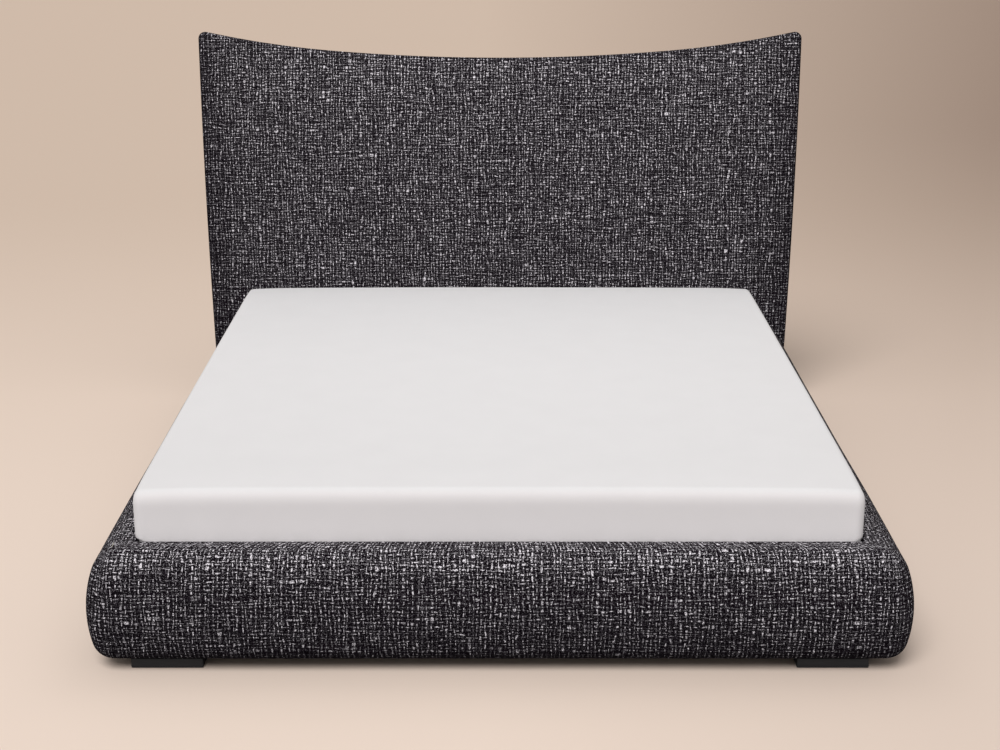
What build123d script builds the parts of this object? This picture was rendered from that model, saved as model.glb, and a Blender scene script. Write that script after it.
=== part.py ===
from build123d import *

import os
from math import asin, cos, degrees, hypot, sin

os.makedirs("parts", exist_ok=True)

# The bed stands as in use: X to the right as seen from the foot end, Y towards the
# headboard, Z up from the floor, with the origin on the floor under the middle of the bed.

# Mattress
mattress_width = 1806.0
mattress_length = 2006.0
mattress_height = 228.0
mattress_crown_radius = 120000.0
mattress_corner_radius = 22.0
mattress_edge_radius = 18.0
mattress_side_draw = 3.0
mattress_clearance = 2.0
ticking_thickness = 4.0
comfort_layer_thickness = 50.0

# Upholstery
fabric_thickness = 2.0
fabric_fit = 0.3
inner_flange_height = 60.0

# Padded rails: a D section that rolls over the board's top and under its foot
rail_thickness = 122.0
rail_top_z = 313.0
rail_widest_z = 148.0
rail_shoulder_radius = 73.0
rail_side_radius = 339.0
rail_heel_radius = 54.0
rail_inner_edge_radius = 8.0
rail_plan_corner_radius = 68.0
rail_board_thickness = 25.0
rail_board_padding = 8.0
rail_sole_thickness = 15.0
rail_sole_width = 55.0

# Headboard: swept back above a straight foot, flared to the sides and dipped along its top
headboard_thickness = 94.0
headboard_sweep_radius = 5900.0
headboard_sweep_start_z = 250.0
headboard_corner_z = 1350.0
headboard_top_width = 2129.0
headboard_base_width = 2080.0
headboard_dip_radius = 7200.0
headboard_dip_half_span = 600.0
headboard_wing_dip_radius = 3450.0
headboard_corner_radius = 24.0
headboard_face_edge_radius = 15.0
headboard_back_edge_radius = 8.0
headboard_foam_thickness = 32.0
headboard_edge_foam_thickness = 12.0
headboard_skin_thickness = 5.0
headboard_post_width = 25.0
headboard_rib_width = 18.0
headboard_rib_count = 3
headboard_top_rail_height = 60.0
headboard_sole_thickness = 25.0
headboard_fabric_turn = 40.0
back_panel_thickness = 4.0
back_panel_margin = 18.0

# Feet
foot_block_width = 180.0
foot_block_depth = 90.0
foot_block_height = 24.0
foot_block_side_inset = 105.0
foot_block_front_inset = 46.0
foot_block_edge_radius = 3.0
foot_pad_thickness = 2.0
foot_pad_margin = 5.0
foot_screw_spacing = 100.0
foot_screw_recess = 8.0
foot_screw_length = 32.0

# Slatted base
slat_count = 14
slat_width = 90.0
slat_thickness = 18.0
slat_deck_z = 225.0
slat_end_gap = 5.0
slat_edge_radius = 3.0
slat_row_margin = 70.0
webbing_width = 25.0
webbing_thickness = 1.2
webbing_spacing = 900.0
ledge_width = 30.0
ledge_height = 40.0
ledge_end_gap = 12.0
ledge_edge_radius = 2.0
ledge_screw_count = 7
ledge_screw_end_margin = 90.0
ledge_screw_length = 48.0
slat_screw_length = 38.0

# Centre beam and its legs
beam_width = 40.0
beam_height = 60.0
beam_wall = 2.0
beam_corner_radius = 4.0
beam_end_gap = 1.0
hanger_plate_width = 90.0
hanger_plate_height = 66.0
hanger_thickness = 3.0
hanger_reach = 50.0
hanger_cheek_height = 40.0
hanger_fit = 0.3
hanger_screw_edge = 8.0
leg_count = 2
leg_radius = 19.0
leg_wall = 1.5
leg_plate_length = 90.0
leg_plate_thickness = 3.0
leg_screw_spacing = 64.0
leg_screw_length = 14.0
plug_rim_thickness = 4.0
plug_depth = 24.0
plug_fit = 0.1
leveller_base_radius = 22.0
leveller_base_thickness = 5.0
leveller_nut_width = 17.0
leveller_nut_height = 7.0
leveller_travel = 12.0
leveller_stud_radius = 5.0
leveller_stud_length = 46.0
leveller_fit = 0.05

# Corner brackets and their fasteners
bracket_height = 100.0
bracket_leg = 60.0
bracket_thickness = 4.0
bracket_low_z = 55.0
bracket_bend_radius = 3.0
bracket_hole_run = 35.0
bolt_radius = 4.0
bolt_head_radius = 7.0
bolt_head_height = 5.0
bolt_spacing = 50.0
bolt_fit = 0.5
bolt_end = 3.0
thread_fit = 0.05
tee_nut_flange_radius = 11.0
tee_nut_flange_thickness = 1.5
tee_nut_barrel_radius = 5.0
tee_nut_barrel_length = 12.0
tee_nut_fit = 0.1
tee_nut_pocket_fit = 2.0
screw_radius = 2.2
screw_head_radius = 4.5
screw_head_height = 2.5
screw_fit = 0.1
bracket_screw_length = 22.0
bracket_screw_spacing = 30.0
bracket_screw_count = 3

# What overruns a cut, so that no thin skin is left
cut_overrun = 50.0

# Heights
rail_underside_z = foot_pad_thickness + foot_block_height
ledge_top_z = slat_deck_z - slat_thickness
webbing_top_z = slat_deck_z + webbing_thickness
mattress_low_z = webbing_top_z + fabric_fit
mattress_top_z = mattress_low_z + mattress_height
fabric_inset = fabric_thickness + fabric_fit
rail_sole_top_z = rail_underside_z + fabric_inset + rail_sole_thickness
rail_board_top_z = rail_top_z - fabric_inset - rail_board_padding
inner_flange_z = rail_top_z - inner_flange_height

# Widths from the middle of the bed
inner_half_width = mattress_width / 2 + mattress_clearance
outer_half_width = inner_half_width + rail_thickness
board_face_x = inner_half_width + fabric_inset
board_back_x = board_face_x + rail_board_thickness

# Depths of the headboard's layers behind its face
skin_face_depth = fabric_inset + headboard_foam_thickness + fabric_fit
skin_back_depth = skin_face_depth + headboard_skin_thickness
frame_face_depth = skin_back_depth
frame_back_depth = headboard_thickness - fabric_inset
frame_inset = fabric_inset + headboard_edge_foam_thickness + fabric_fit
panel_face_depth = headboard_thickness + fabric_fit
panel_back_depth = panel_face_depth + back_panel_thickness
headboard_back_depth = panel_back_depth + fabric_inset
sweep_angle = asin((headboard_corner_z - headboard_sweep_start_z) / headboard_sweep_radius)
panel_angle = sweep_angle - back_panel_margin / headboard_sweep_radius
headboard_reach = headboard_sweep_radius - (
    headboard_sweep_radius - headboard_back_depth
) * cos(panel_angle)

# Places along the bed
side_rail_length = mattress_length + 2 * mattress_clearance
overall_length = rail_thickness + side_rail_length + headboard_reach
foot_front_y = -overall_length / 2
foot_inner_y = foot_front_y + rail_thickness
foot_board_y = foot_inner_y - fabric_inset
head_face_y = foot_inner_y + side_rail_length
mattress_y = (foot_inner_y + head_face_y) / 2


def finish(part, label):
    """Names a finished piece and writes it to its own file."""
    part.label = label
    export_step(part, os.path.join("parts", label + ".step"))


def rail_section(inset):
    """The rail's D section drawn in by inset, X outwards from its inner face and Y up:
    a flat top, a shoulder arc, a nearly flat side arc, a heel arc and a flat underside."""
    shoulder_turn = asin(
        (rail_top_z - rail_widest_z - rail_shoulder_radius) / (rail_side_radius - rail_shoulder_radius)
    )
    heel_turn = asin(
        (rail_widest_z - rail_underside_z - rail_heel_radius) / (rail_side_radius - rail_heel_radius)
    )
    side_x = rail_thickness - rail_side_radius
    shoulder_x = side_x + (rail_side_radius - rail_shoulder_radius) * cos(shoulder_turn)
    heel_x = side_x + (rail_side_radius - rail_heel_radius) * cos(heel_turn)
    shoulder_z = rail_top_z - rail_shoulder_radius
    heel_z = rail_underside_z + rail_heel_radius
    with BuildSketch() as section:
        with BuildLine():
            heel = CenterArc(
                (heel_x, heel_z), rail_heel_radius - inset, -90, 90 - degrees(heel_turn)
            )
            CenterArc(
                (side_x, rail_widest_z),
                rail_side_radius - inset,
                -degrees(heel_turn),
                degrees(heel_turn + shoulder_turn),
            )
            shoulder = CenterArc(
                (shoulder_x, shoulder_z),
                rail_shoulder_radius - inset,
                degrees(shoulder_turn),
                90 - degrees(shoulder_turn),
            )
            Polyline(
                shoulder @ 1,
                (inset, rail_top_z - inset),
                (inset, rail_underside_z + inset),
                heel @ 0,
            )
        make_face()
        top_inner = section.vertices().group_by(Axis.Y)[-1].sort_by(Axis.X)[0]
        fillet(top_inner, rail_inner_edge_radius - inset)
    return section.sketch


def foot_rail_form(inset):
    """The foot rail's padded body: the D section carried across the bed and turned
    round a plan corner at each end, with a flat rear face that the side rails meet."""
    corner_x = outer_half_width - rail_plan_corner_radius
    corner_run = rail_thickness - rail_plan_corner_radius
    across = Plane((0, foot_inner_y, 0), x_dir=(0, -1, 0), z_dir=(-1, 0, 0))
    turn = Plane((corner_x, foot_inner_y, 0), x_dir=(0, -1, 0), z_dir=(-1, 0, 0))
    along = Plane((corner_x - corner_run, foot_inner_y - corner_run, 0), x_dir=(1, 0, 0), z_dir=(0, -1, 0))
    with BuildPart() as form:
        with BuildSketch(across):
            add(rail_section(inset))
        extrude(amount=-corner_x)
        with BuildSketch(turn) as corner_half:
            add(rail_section(inset))
            with Locations((corner_run, 0)):
                Rectangle(
                    rail_thickness, rail_top_z, align=(Align.MIN, Align.MIN), mode=Mode.INTERSECT
                )
        revolve(axis=Axis((corner_x, foot_inner_y - corner_run, 0), (0, 0, 1)), revolution_arc=90)
        with BuildSketch(along):
            add(corner_half.sketch_local)
        extrude(amount=inset - corner_run)
        mirror(about=Plane.YZ)
    return form.part


def side_rail_form(inset):
    """The right side rail's padded body: the D section carried from foot rail to headboard."""
    start = Plane((inner_half_width, foot_inner_y + inset, 0), x_dir=(1, 0, 0), z_dir=(0, -1, 0))
    with BuildPart() as form:
        with BuildSketch(start):
            add(rail_section(inset))
        extrude(amount=2 * inset - side_rail_length)
    return form.part


# The headboard's outline is drawn on the plane that touches its face along the top corners
corner_y = head_face_y + headboard_sweep_radius * (1 - cos(sweep_angle))
headboard_plane = Plane(
    (0, corner_y, headboard_corner_z), x_dir=(1, 0, 0), z_dir=(0, -cos(sweep_angle), sin(sweep_angle))
)
headboard_drop = (corner_y - head_face_y) * sin(sweep_angle) + (
    headboard_corner_z - rail_underside_z
) * cos(sweep_angle)
dip_turn = asin(headboard_dip_half_span / headboard_dip_radius)
wing_turn = asin(
    sin(dip_turn) + (headboard_top_width / 2 - headboard_dip_half_span) / headboard_wing_dip_radius
)
dip_depth = headboard_dip_radius * (1 - cos(dip_turn)) + headboard_wing_dip_radius * (
    cos(dip_turn) - cos(wing_turn)
)


def headboard_outline(side_inset, top_inset, corner_radius):
    """The headboard as seen square to its top: flared sides under a dipped edge of one
    middle arc and two tighter wing arcs, all drawn in by their insets."""
    flare = (headboard_top_width - headboard_base_width) / 2 / headboard_drop
    top_x = headboard_top_width / 2 - side_inset
    low_y = -headboard_drop - cut_overrun
    middle_y = headboard_dip_radius - dip_depth
    wing_x = (headboard_dip_radius - headboard_wing_dip_radius) * sin(dip_turn)
    wing_y = middle_y - (headboard_dip_radius - headboard_wing_dip_radius) * cos(dip_turn)
    wing_radius = headboard_wing_dip_radius + top_inset
    start_angle = degrees(dip_turn)
    wing_arc = degrees(wing_turn - dip_turn + cut_overrun / headboard_wing_dip_radius)
    with BuildSketch() as outline:
        with BuildLine():
            CenterArc((0, middle_y), headboard_dip_radius + top_inset, -90 - start_angle, 2 * start_angle)
            right = CenterArc((wing_x, wing_y), wing_radius, -90 + start_angle, wing_arc)
            left = CenterArc((-wing_x, wing_y), wing_radius, -90 - start_angle, -wing_arc)
            Polyline(right @ 1, ((right @ 1).X, low_y), ((left @ 1).X, low_y), left @ 1)
        make_face()
        Polygon(
            (-top_x - cut_overrun * flare, cut_overrun),
            (-top_x - low_y * flare, low_y),
            (top_x + low_y * flare, low_y),
            (top_x + cut_overrun * flare, cut_overrun),
            align=None,
            mode=Mode.INTERSECT,
        )
        if corner_radius > 0:
            fillet(outline.vertices().group_by(Axis.Y)[-1], corner_radius)
    return outline.sketch


def headboard_layer(near, far, side_inset, top_inset, low_z, corner_radius=0):
    """A slab of the headboard between two depths behind its face, standing on low_z."""
    rise = sweep_angle + cut_overrun / headboard_sweep_radius
    centre_y = head_face_y + headboard_sweep_radius
    with BuildPart() as layer:
        with BuildSketch(Plane.YZ.offset(-headboard_top_width / 2)):
            with BuildLine():
                face = CenterArc(
                    (centre_y, headboard_sweep_start_z), headboard_sweep_radius - near, 180, -degrees(rise)
                )
                back = CenterArc(
                    (centre_y, headboard_sweep_start_z), headboard_sweep_radius - far, 180, -degrees(rise)
                )
                Line(face @ 1, back @ 1)
                Polyline(
                    face @ 0, (head_face_y + near, low_z), (head_face_y + far, low_z), back @ 0
                )
            make_face()
        extrude(amount=headboard_top_width)
        with BuildSketch(headboard_plane):
            add(headboard_outline(side_inset, top_inset, corner_radius))
        extrude(amount=2 * headboard_thickness + cut_overrun, both=True, mode=Mode.INTERSECT)
    return layer.part


def depth_behind_face(point):
    """How far a point lies behind the headboard's face."""
    if point.Z <= headboard_sweep_start_z:
        return point.Y - head_face_y
    to_centre = hypot(head_face_y + headboard_sweep_radius - point.Y, point.Z - headboard_sweep_start_z)
    return headboard_sweep_radius - to_centre


def rim_edges(edges, depth):
    """The edges round the sides and top of the headboard at one depth behind its face."""
    rim = []
    for edge in edges:
        middle = edge @ 0.5
        crosses = abs(middle.X) < rail_thickness and middle.Z < headboard_corner_z / 2
        if abs(depth_behind_face(middle) - depth) < fabric_fit / 2 and not crosses:
            rim.append(edge)
    return rim


def headboard_form(inset):
    """The headboard's padded body with its rolled edges, drawn in by inset all round."""
    face_depth = inset
    back_depth = headboard_thickness - inset
    low_z = rail_underside_z + inset
    with BuildPart() as form:
        add(headboard_layer(face_depth, back_depth, inset, inset, low_z, headboard_corner_radius - inset))
        fillet(rim_edges(form.edges(), face_depth), headboard_face_edge_radius - inset)
        fillet(rim_edges(form.edges(), back_depth), headboard_back_edge_radius - inset)
    return form.part


def mattress_form(inset):
    """The mattress drawn in by inset: sides drawn in between rounded corners, a crowned
    top cut from a very large ball, and rolled upper and lower edges."""
    half_width = mattress_width / 2 - inset
    half_length = mattress_length / 2 - inset
    low_z = mattress_low_z + inset
    with BuildPart() as form:
        with BuildSketch(Plane((0, mattress_y, low_z))) as plan:
            with BuildLine():
                right = (half_width - mattress_side_draw, 0)
                rear = (0, half_length - mattress_side_draw)
                left = (mattress_side_draw - half_width, 0)
                front = (0, mattress_side_draw - half_length)
                ThreePointArc((half_width, -half_length), right, (half_width, half_length))
                ThreePointArc((half_width, half_length), rear, (-half_width, half_length))
                ThreePointArc((-half_width, half_length), left, (-half_width, -half_length))
                ThreePointArc((-half_width, -half_length), front, (half_width, -half_length))
            make_face()
            fillet(plan.vertices(), mattress_corner_radius - inset)
        extrude(amount=mattress_height)
        with Locations((0, mattress_y, mattress_top_z - mattress_crown_radius)):
            Sphere(mattress_crown_radius - inset, mode=Mode.INTERSECT)
        middle_z = mattress_low_z + mattress_height / 2
        upper = [edge for edge in form.edges() if min((edge @ 0).Z, (edge @ 1).Z) > middle_z]
        lower = [edge for edge in form.edges() if max((edge @ 0).Z, (edge @ 1).Z) < middle_z]
        fillet(upper + lower, mattress_edge_radius - inset)
    return form.part


def screw(length, shank_radius, head_radius, head_height):
    """A screw or bolt along Z: its head stands on the XY plane and its shank points down."""
    with BuildPart() as fastener:
        Cylinder(head_radius, head_height, align=(Align.CENTER, Align.CENTER, Align.MIN))
        chamfer(fastener.faces().sort_by(Axis.Z)[-1].edges(), head_height / 3)
        Cylinder(shank_radius, length, align=(Align.CENTER, Align.CENTER, Align.MAX))
        chamfer(fastener.faces().sort_by(Axis.Z)[0].edges(), shank_radius / 3)
    return fastener.part


def spread(low, high, count):
    """Evenly spaced places from low to high."""
    return [low + (high - low) * step / (count - 1) for step in range(count)]


wood_screw = screw(bracket_screw_length, screw_radius, screw_head_radius, screw_head_height)
long_screw = screw(ledge_screw_length, screw_radius, screw_head_radius, screw_head_height)
slat_screw = screw(slat_screw_length, screw_radius, screw_head_radius, screw_head_height)
foot_screw = screw(foot_screw_length, screw_radius, screw_head_radius, screw_head_height)
leg_screw = screw(leg_screw_length, screw_radius, screw_head_radius, screw_head_height)
foot_bolt_length = bracket_thickness + rail_board_thickness + tee_nut_flange_thickness + bolt_end
head_bolt_length = bracket_thickness + skin_back_depth + tee_nut_flange_thickness + bolt_end

# Where the corner brackets' bolts and screws go: each place is a plane whose Z axis
# leaves the screwed piece, on the right half of the bed
bolt_heights = [
    bracket_low_z + bracket_height / 2 - bolt_spacing / 2,
    bracket_low_z + bracket_height / 2 + bolt_spacing / 2,
]
bolt_x = board_face_x - bracket_hole_run
foot_bolt_places = [
    Plane((side * bolt_x, foot_board_y + bracket_thickness, z), z_dir=(0, 1, 0))
    for side in (-1, 1)
    for z in bolt_heights
]
head_bolt_places = [
    Plane((side * bolt_x, head_face_y - bracket_thickness, z), z_dir=(0, -1, 0))
    for side in (-1, 1)
    for z in bolt_heights
]
bracket_screw_heights = spread(
    bracket_low_z + bracket_height / 2 - bracket_screw_spacing,
    bracket_low_z + bracket_height / 2 + bracket_screw_spacing,
    bracket_screw_count,
)
bracket_screw_places = [
    Plane((side * (board_face_x - bracket_thickness), y, z), z_dir=(-side, 0, 0))
    for side in (-1, 1)
    for y in (foot_board_y + bracket_hole_run, head_face_y - bracket_hole_run)
    for z in bracket_screw_heights
]

# Slatted base: ledge, beam and hanger places
ledge_low_y = foot_inner_y + ledge_end_gap
ledge_high_y = head_face_y - ledge_end_gap
ledge_screw_places = [
    Plane((side * (board_face_x - ledge_width), y, ledge_top_z - ledge_height / 2), z_dir=(-side, 0, 0))
    for side in (-1, 1)
    for y in spread(
        ledge_low_y + ledge_screw_end_margin, ledge_high_y - ledge_screw_end_margin, ledge_screw_count
    )
]
slat_half_length = board_face_x - slat_end_gap
slat_rows = spread(foot_inner_y + slat_row_margin, head_face_y - slat_row_margin, slat_count)
slat_screw_x = board_face_x - ledge_width / 2
slat_screw_places = [
    Plane((side * slat_screw_x, y, slat_deck_z - screw_head_height), z_dir=(0, 0, 1))
    for side in (-1, 1)
    for y in (slat_rows[0], slat_rows[-1])
]
beam_low_z = ledge_top_z - beam_height
beam_low_y = foot_board_y + hanger_thickness + beam_end_gap
beam_high_y = head_face_y - hanger_thickness - beam_end_gap
hanger_low_z = beam_low_z - hanger_thickness
hanger_screw_xs = [
    side * (hanger_plate_width / 2 - hanger_screw_edge) for side in (-1, 1)
]
hanger_screw_zs = [hanger_low_z + hanger_screw_edge, hanger_low_z + hanger_plate_height - hanger_screw_edge]
foot_hanger_screw_places = [
    Plane((x, foot_board_y + hanger_thickness, z), z_dir=(0, 1, 0))
    for x in hanger_screw_xs
    for z in hanger_screw_zs
]
head_hanger_screw_places = [
    Plane((x, head_face_y - hanger_thickness, z), z_dir=(0, -1, 0))
    for x in hanger_screw_xs
    for z in hanger_screw_zs
]
leg_plate_z = beam_low_z - leg_plate_thickness
leg_rows = [
    beam_low_y + (beam_high_y - beam_low_y) * (step + 1) / (leg_count + 1) for step in range(leg_count)
]
leg_screw_places = [
    Plane((0, y + side * leg_screw_spacing / 2, leg_plate_z), z_dir=(0, 0, -1))
    for y in leg_rows
    for side in (-1, 1)
]

# Feet: two under the foot rail and two under the headboard
foot_x = outer_half_width - foot_block_side_inset - foot_block_width / 2
front_foot_y = foot_front_y + foot_block_front_inset + foot_block_depth / 2
rear_foot_y = head_face_y + fabric_inset + foot_block_depth / 2
foot_places = {
    "front_left_foot": (-foot_x, front_foot_y),
    "front_right_foot": (foot_x, front_foot_y),
    "rear_left_foot": (-foot_x, rear_foot_y),
    "rear_right_foot": (foot_x, rear_foot_y),
}
foot_screw_places = [
    Plane((x + side * foot_screw_spacing / 2, y, foot_pad_thickness + foot_screw_recess), z_dir=(0, 0, -1))
    for x, y in foot_places.values()
    for side in (-1, 1)
]


def drill(places, radius, depth):
    """Round holes of one depth, sunk from each place against its Z axis and run past its mouth."""
    for place in places:
        with Locations(place.location):
            Cylinder(radius, depth, align=(Align.CENTER, Align.CENTER, Align.MAX), mode=Mode.SUBTRACT)
            Cylinder(
                radius, cut_overrun, align=(Align.CENTER, Align.CENTER, Align.MIN), mode=Mode.SUBTRACT
            )


def clear_heads(places, radius):
    """Recesses that open outwards from each place and take a screw's head."""
    for place in places:
        with Locations(place.location):
            Cylinder(
                radius, cut_overrun, align=(Align.CENTER, Align.CENTER, Align.MIN), mode=Mode.SUBTRACT
            )


screw_hole_radius = screw_radius + screw_fit
bolt_hole_radius = bolt_radius + bolt_fit
barrel_hole_radius = tee_nut_barrel_radius + tee_nut_fit

# Foot rail: a board on edge with a sole under it, both wrapped in foam and fabric
with BuildPart() as foot_rail_board:
    board_height = rail_board_top_z - rail_sole_top_z
    with Locations((0, foot_board_y, rail_sole_top_z)):
        Box(
            2 * board_back_x,
            rail_board_thickness,
            board_height,
            align=(Align.CENTER, Align.MAX, Align.MIN),
        )
    drill(foot_bolt_places, barrel_hole_radius, bracket_thickness + rail_board_thickness + cut_overrun)
    drill(foot_hanger_screw_places, screw_hole_radius, bracket_screw_length + screw_fit)
finish(foot_rail_board.part, "foot_rail_board")

with BuildPart() as foot_rail_sole:
    with Locations((0, foot_board_y, rail_underside_z + fabric_inset)):
        Box(
            2 * board_back_x,
            rail_sole_width,
            rail_sole_thickness,
            align=(Align.CENTER, Align.MAX, Align.MIN),
        )
    drill(foot_screw_places, screw_hole_radius, foot_screw_length + screw_fit)
finish(foot_rail_sole.part, "foot_rail_sole")

with BuildPart() as foot_rail_foam:
    add(foot_rail_form(fabric_inset))
    clear = 2 * (board_back_x + fabric_fit)
    with Locations((0, foot_inner_y, 0)):
        Box(
            clear,
            fabric_inset + rail_board_thickness + fabric_fit,
            rail_board_top_z + fabric_fit,
            align=(Align.CENTER, Align.MAX, Align.MIN),
            mode=Mode.SUBTRACT,
        )
        Box(
            clear,
            fabric_inset + rail_sole_width + fabric_fit,
            rail_sole_top_z + fabric_fit,
            align=(Align.CENTER, Align.MAX, Align.MIN),
            mode=Mode.SUBTRACT,
        )
    drill(
        foot_bolt_places,
        tee_nut_flange_radius + tee_nut_pocket_fit,
        foot_bolt_length + tee_nut_pocket_fit,
    )
finish(foot_rail_foam.part, "foot_rail_foam")

with BuildPart() as foot_rail_cover:
    add(foot_rail_form(0))
    add(foot_rail_form(fabric_thickness), mode=Mode.SUBTRACT)
    with Locations((0, foot_inner_y, 0)):
        Box(
            2 * board_face_x,
            2 * fabric_inset,
            inner_flange_z,
            align=(Align.CENTER, Align.CENTER, Align.MIN),
            mode=Mode.SUBTRACT,
        )
    drill(foot_screw_places, screw_hole_radius, foot_screw_length)
finish(foot_rail_cover.part, "foot_rail_cover")

# Side rails: the same build, made on the right and mirrored to the left
with BuildPart() as right_side_board:
    with Locations((board_face_x, mattress_y, rail_sole_top_z)):
        Box(
            rail_board_thickness,
            side_rail_length - 2 * fabric_inset,
            board_height,
            align=(Align.MIN, Align.CENTER, Align.MIN),
        )
    drill(bracket_screw_places, screw_hole_radius, bracket_screw_length + screw_fit)
    drill(ledge_screw_places, screw_hole_radius, ledge_screw_length + screw_fit)
finish(right_side_board.part, "right_side_board")

with BuildPart() as right_side_sole:
    with Locations((board_face_x, mattress_y, rail_underside_z + fabric_inset)):
        Box(
            rail_sole_width,
            side_rail_length - 2 * fabric_inset,
            rail_sole_thickness,
            align=(Align.MIN, Align.CENTER, Align.MIN),
        )
finish(right_side_sole.part, "right_side_sole")

with BuildPart() as right_side_foam:
    add(side_rail_form(fabric_inset))
    with Locations((inner_half_width, mattress_y, 0)):
        Box(
            fabric_inset + rail_board_thickness + fabric_fit,
            side_rail_length,
            rail_board_top_z + fabric_fit,
            align=(Align.MIN, Align.CENTER, Align.MIN),
            mode=Mode.SUBTRACT,
        )
        Box(
            fabric_inset + rail_sole_width + fabric_fit,
            side_rail_length,
            rail_sole_top_z + fabric_fit,
            align=(Align.MIN, Align.CENTER, Align.MIN),
            mode=Mode.SUBTRACT,
        )
finish(right_side_foam.part, "right_side_foam")

with BuildPart() as right_side_cover:
    add(side_rail_form(0))
    add(side_rail_form(fabric_thickness), mode=Mode.SUBTRACT)
    with Locations((inner_half_width, mattress_y, 0)):
        Box(
            2 * fabric_inset,
            side_rail_length,
            inner_flange_z,
            align=(Align.CENTER, Align.CENTER, Align.MIN),
            mode=Mode.SUBTRACT,
        )
finish(right_side_cover.part, "right_side_cover")

with BuildPart() as left_side_board:
    mirror(right_side_board.part, about=Plane.YZ)
finish(left_side_board.part, "left_side_board")

with BuildPart() as left_side_sole:
    mirror(right_side_sole.part, about=Plane.YZ)
finish(left_side_sole.part, "left_side_sole")

with BuildPart() as left_side_foam:
    mirror(right_side_foam.part, about=Plane.YZ)
finish(left_side_foam.part, "left_side_foam")

with BuildPart() as left_side_cover:
    mirror(right_side_cover.part, about=Plane.YZ)
finish(left_side_cover.part, "left_side_cover")

# Headboard frame: sole, lower board, curved posts, ribs and top rail, and a bent skin
headboard_sole_low_z = rail_underside_z + fabric_inset
headboard_frame_low_z = headboard_sole_low_z + headboard_sole_thickness
rail_inset = frame_inset + headboard_post_width

with BuildPart() as headboard_sole:
    add(headboard_layer(fabric_inset, frame_back_depth, frame_inset, frame_inset, headboard_sole_low_z))
    split(bisect_by=Plane.XY.offset(headboard_frame_low_z), keep=Keep.BOTTOM)
    drill(foot_screw_places, screw_hole_radius, foot_screw_length + screw_fit)
finish(headboard_sole.part, "headboard_sole")

with BuildPart() as headboard_lower_board:
    add(headboard_layer(fabric_inset, skin_back_depth, frame_inset, frame_inset, headboard_frame_low_z))
    split(bisect_by=Plane.XY.offset(headboard_sweep_start_z), keep=Keep.BOTTOM)
    drill(head_bolt_places, barrel_hole_radius, head_bolt_length + cut_overrun)
    drill(head_hanger_screw_places, screw_hole_radius, bracket_screw_length + screw_fit)
finish(headboard_lower_board.part, "headboard_lower_board")

with BuildPart() as headboard_skin:
    add(headboard_layer(skin_face_depth, skin_back_depth, frame_inset, frame_inset, headboard_sweep_start_z))
finish(headboard_skin.part, "headboard_skin")

with BuildPart() as headboard_posts:
    add(headboard_layer(frame_face_depth, frame_back_depth, frame_inset, frame_inset, headboard_frame_low_z))
    add(
        headboard_layer(
            frame_face_depth - fabric_fit,
            frame_back_depth + fabric_fit,
            rail_inset,
            -cut_overrun,
            headboard_frame_low_z - cut_overrun,
        ),
        mode=Mode.SUBTRACT,
    )
post_solids = headboard_posts.solids().sort_by(Axis.X)

with BuildPart() as headboard_left_post:
    add(post_solids[0])
finish(headboard_left_post.part, "headboard_left_post")

with BuildPart() as headboard_right_post:
    add(post_solids[-1])
finish(headboard_right_post.part, "headboard_right_post")

with BuildPart() as headboard_top_rail:
    add(headboard_layer(frame_face_depth, frame_back_depth, rail_inset, frame_inset, headboard_sweep_start_z))
    add(
        headboard_layer(
            frame_face_depth - fabric_fit,
            frame_back_depth + fabric_fit,
            0,
            frame_inset + headboard_top_rail_height,
            headboard_sweep_start_z - cut_overrun,
        ),
        mode=Mode.SUBTRACT,
    )
finish(headboard_top_rail.part, "headboard_top_rail")

rib_gap = (headboard_base_width - 2 * rail_inset) / (headboard_rib_count + 1)
for rib_number in range(headboard_rib_count):
    rib_x = (rib_number + 1) * rib_gap - (headboard_base_width / 2 - rail_inset)
    with BuildPart() as headboard_rib:
        add(
            headboard_layer(
                frame_face_depth,
                frame_back_depth,
                rail_inset,
                frame_inset + headboard_top_rail_height,
                headboard_frame_low_z,
            )
        )
        with Locations((rib_x, head_face_y, 0)):
            Box(
                headboard_rib_width,
                2 * headboard_reach,
                2 * headboard_corner_z,
                mode=Mode.INTERSECT,
            )
    finish(headboard_rib.part, "headboard_rib_" + str(rib_number + 1))

with BuildPart() as headboard_foam:
    add(headboard_form(fabric_inset))
    add(
        headboard_layer(
            skin_face_depth - fabric_fit,
            headboard_thickness,
            frame_inset - fabric_fit,
            frame_inset - fabric_fit,
            0,
        ),
        mode=Mode.SUBTRACT,
    )
    add(
        split(
            headboard_layer(-fabric_fit, headboard_thickness, frame_inset - fabric_fit, 0, 0),
            bisect_by=Plane.XY.offset(headboard_sweep_start_z + fabric_fit),
            keep=Keep.BOTTOM,
            mode=Mode.PRIVATE,
        ),
        mode=Mode.SUBTRACT,
    )
finish(headboard_foam.part, "headboard_foam")

with BuildPart() as headboard_cover:
    add(headboard_form(0))
    add(headboard_form(fabric_thickness), mode=Mode.SUBTRACT)
    add(
        headboard_layer(
            headboard_thickness - fabric_inset,
            headboard_thickness + cut_overrun,
            headboard_fabric_turn,
            headboard_fabric_turn,
            rail_underside_z + headboard_fabric_turn,
        ),
        mode=Mode.SUBTRACT,
    )
    drill(head_bolt_places, barrel_hole_radius, head_bolt_length - bolt_end - skin_back_depth + fabric_inset)
    drill(head_hanger_screw_places, screw_hole_radius, hanger_thickness + fabric_inset)
    drill(foot_screw_places, screw_hole_radius, foot_screw_length)
finish(headboard_cover.part, "headboard_cover")

panel_low_z = rail_underside_z + back_panel_margin
with BuildPart() as headboard_back_panel:
    panel_inset = back_panel_margin + fabric_inset
    add(headboard_layer(panel_face_depth, panel_back_depth, panel_inset, panel_inset, panel_low_z + fabric_inset))
finish(headboard_back_panel.part, "headboard_back_panel")

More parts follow.
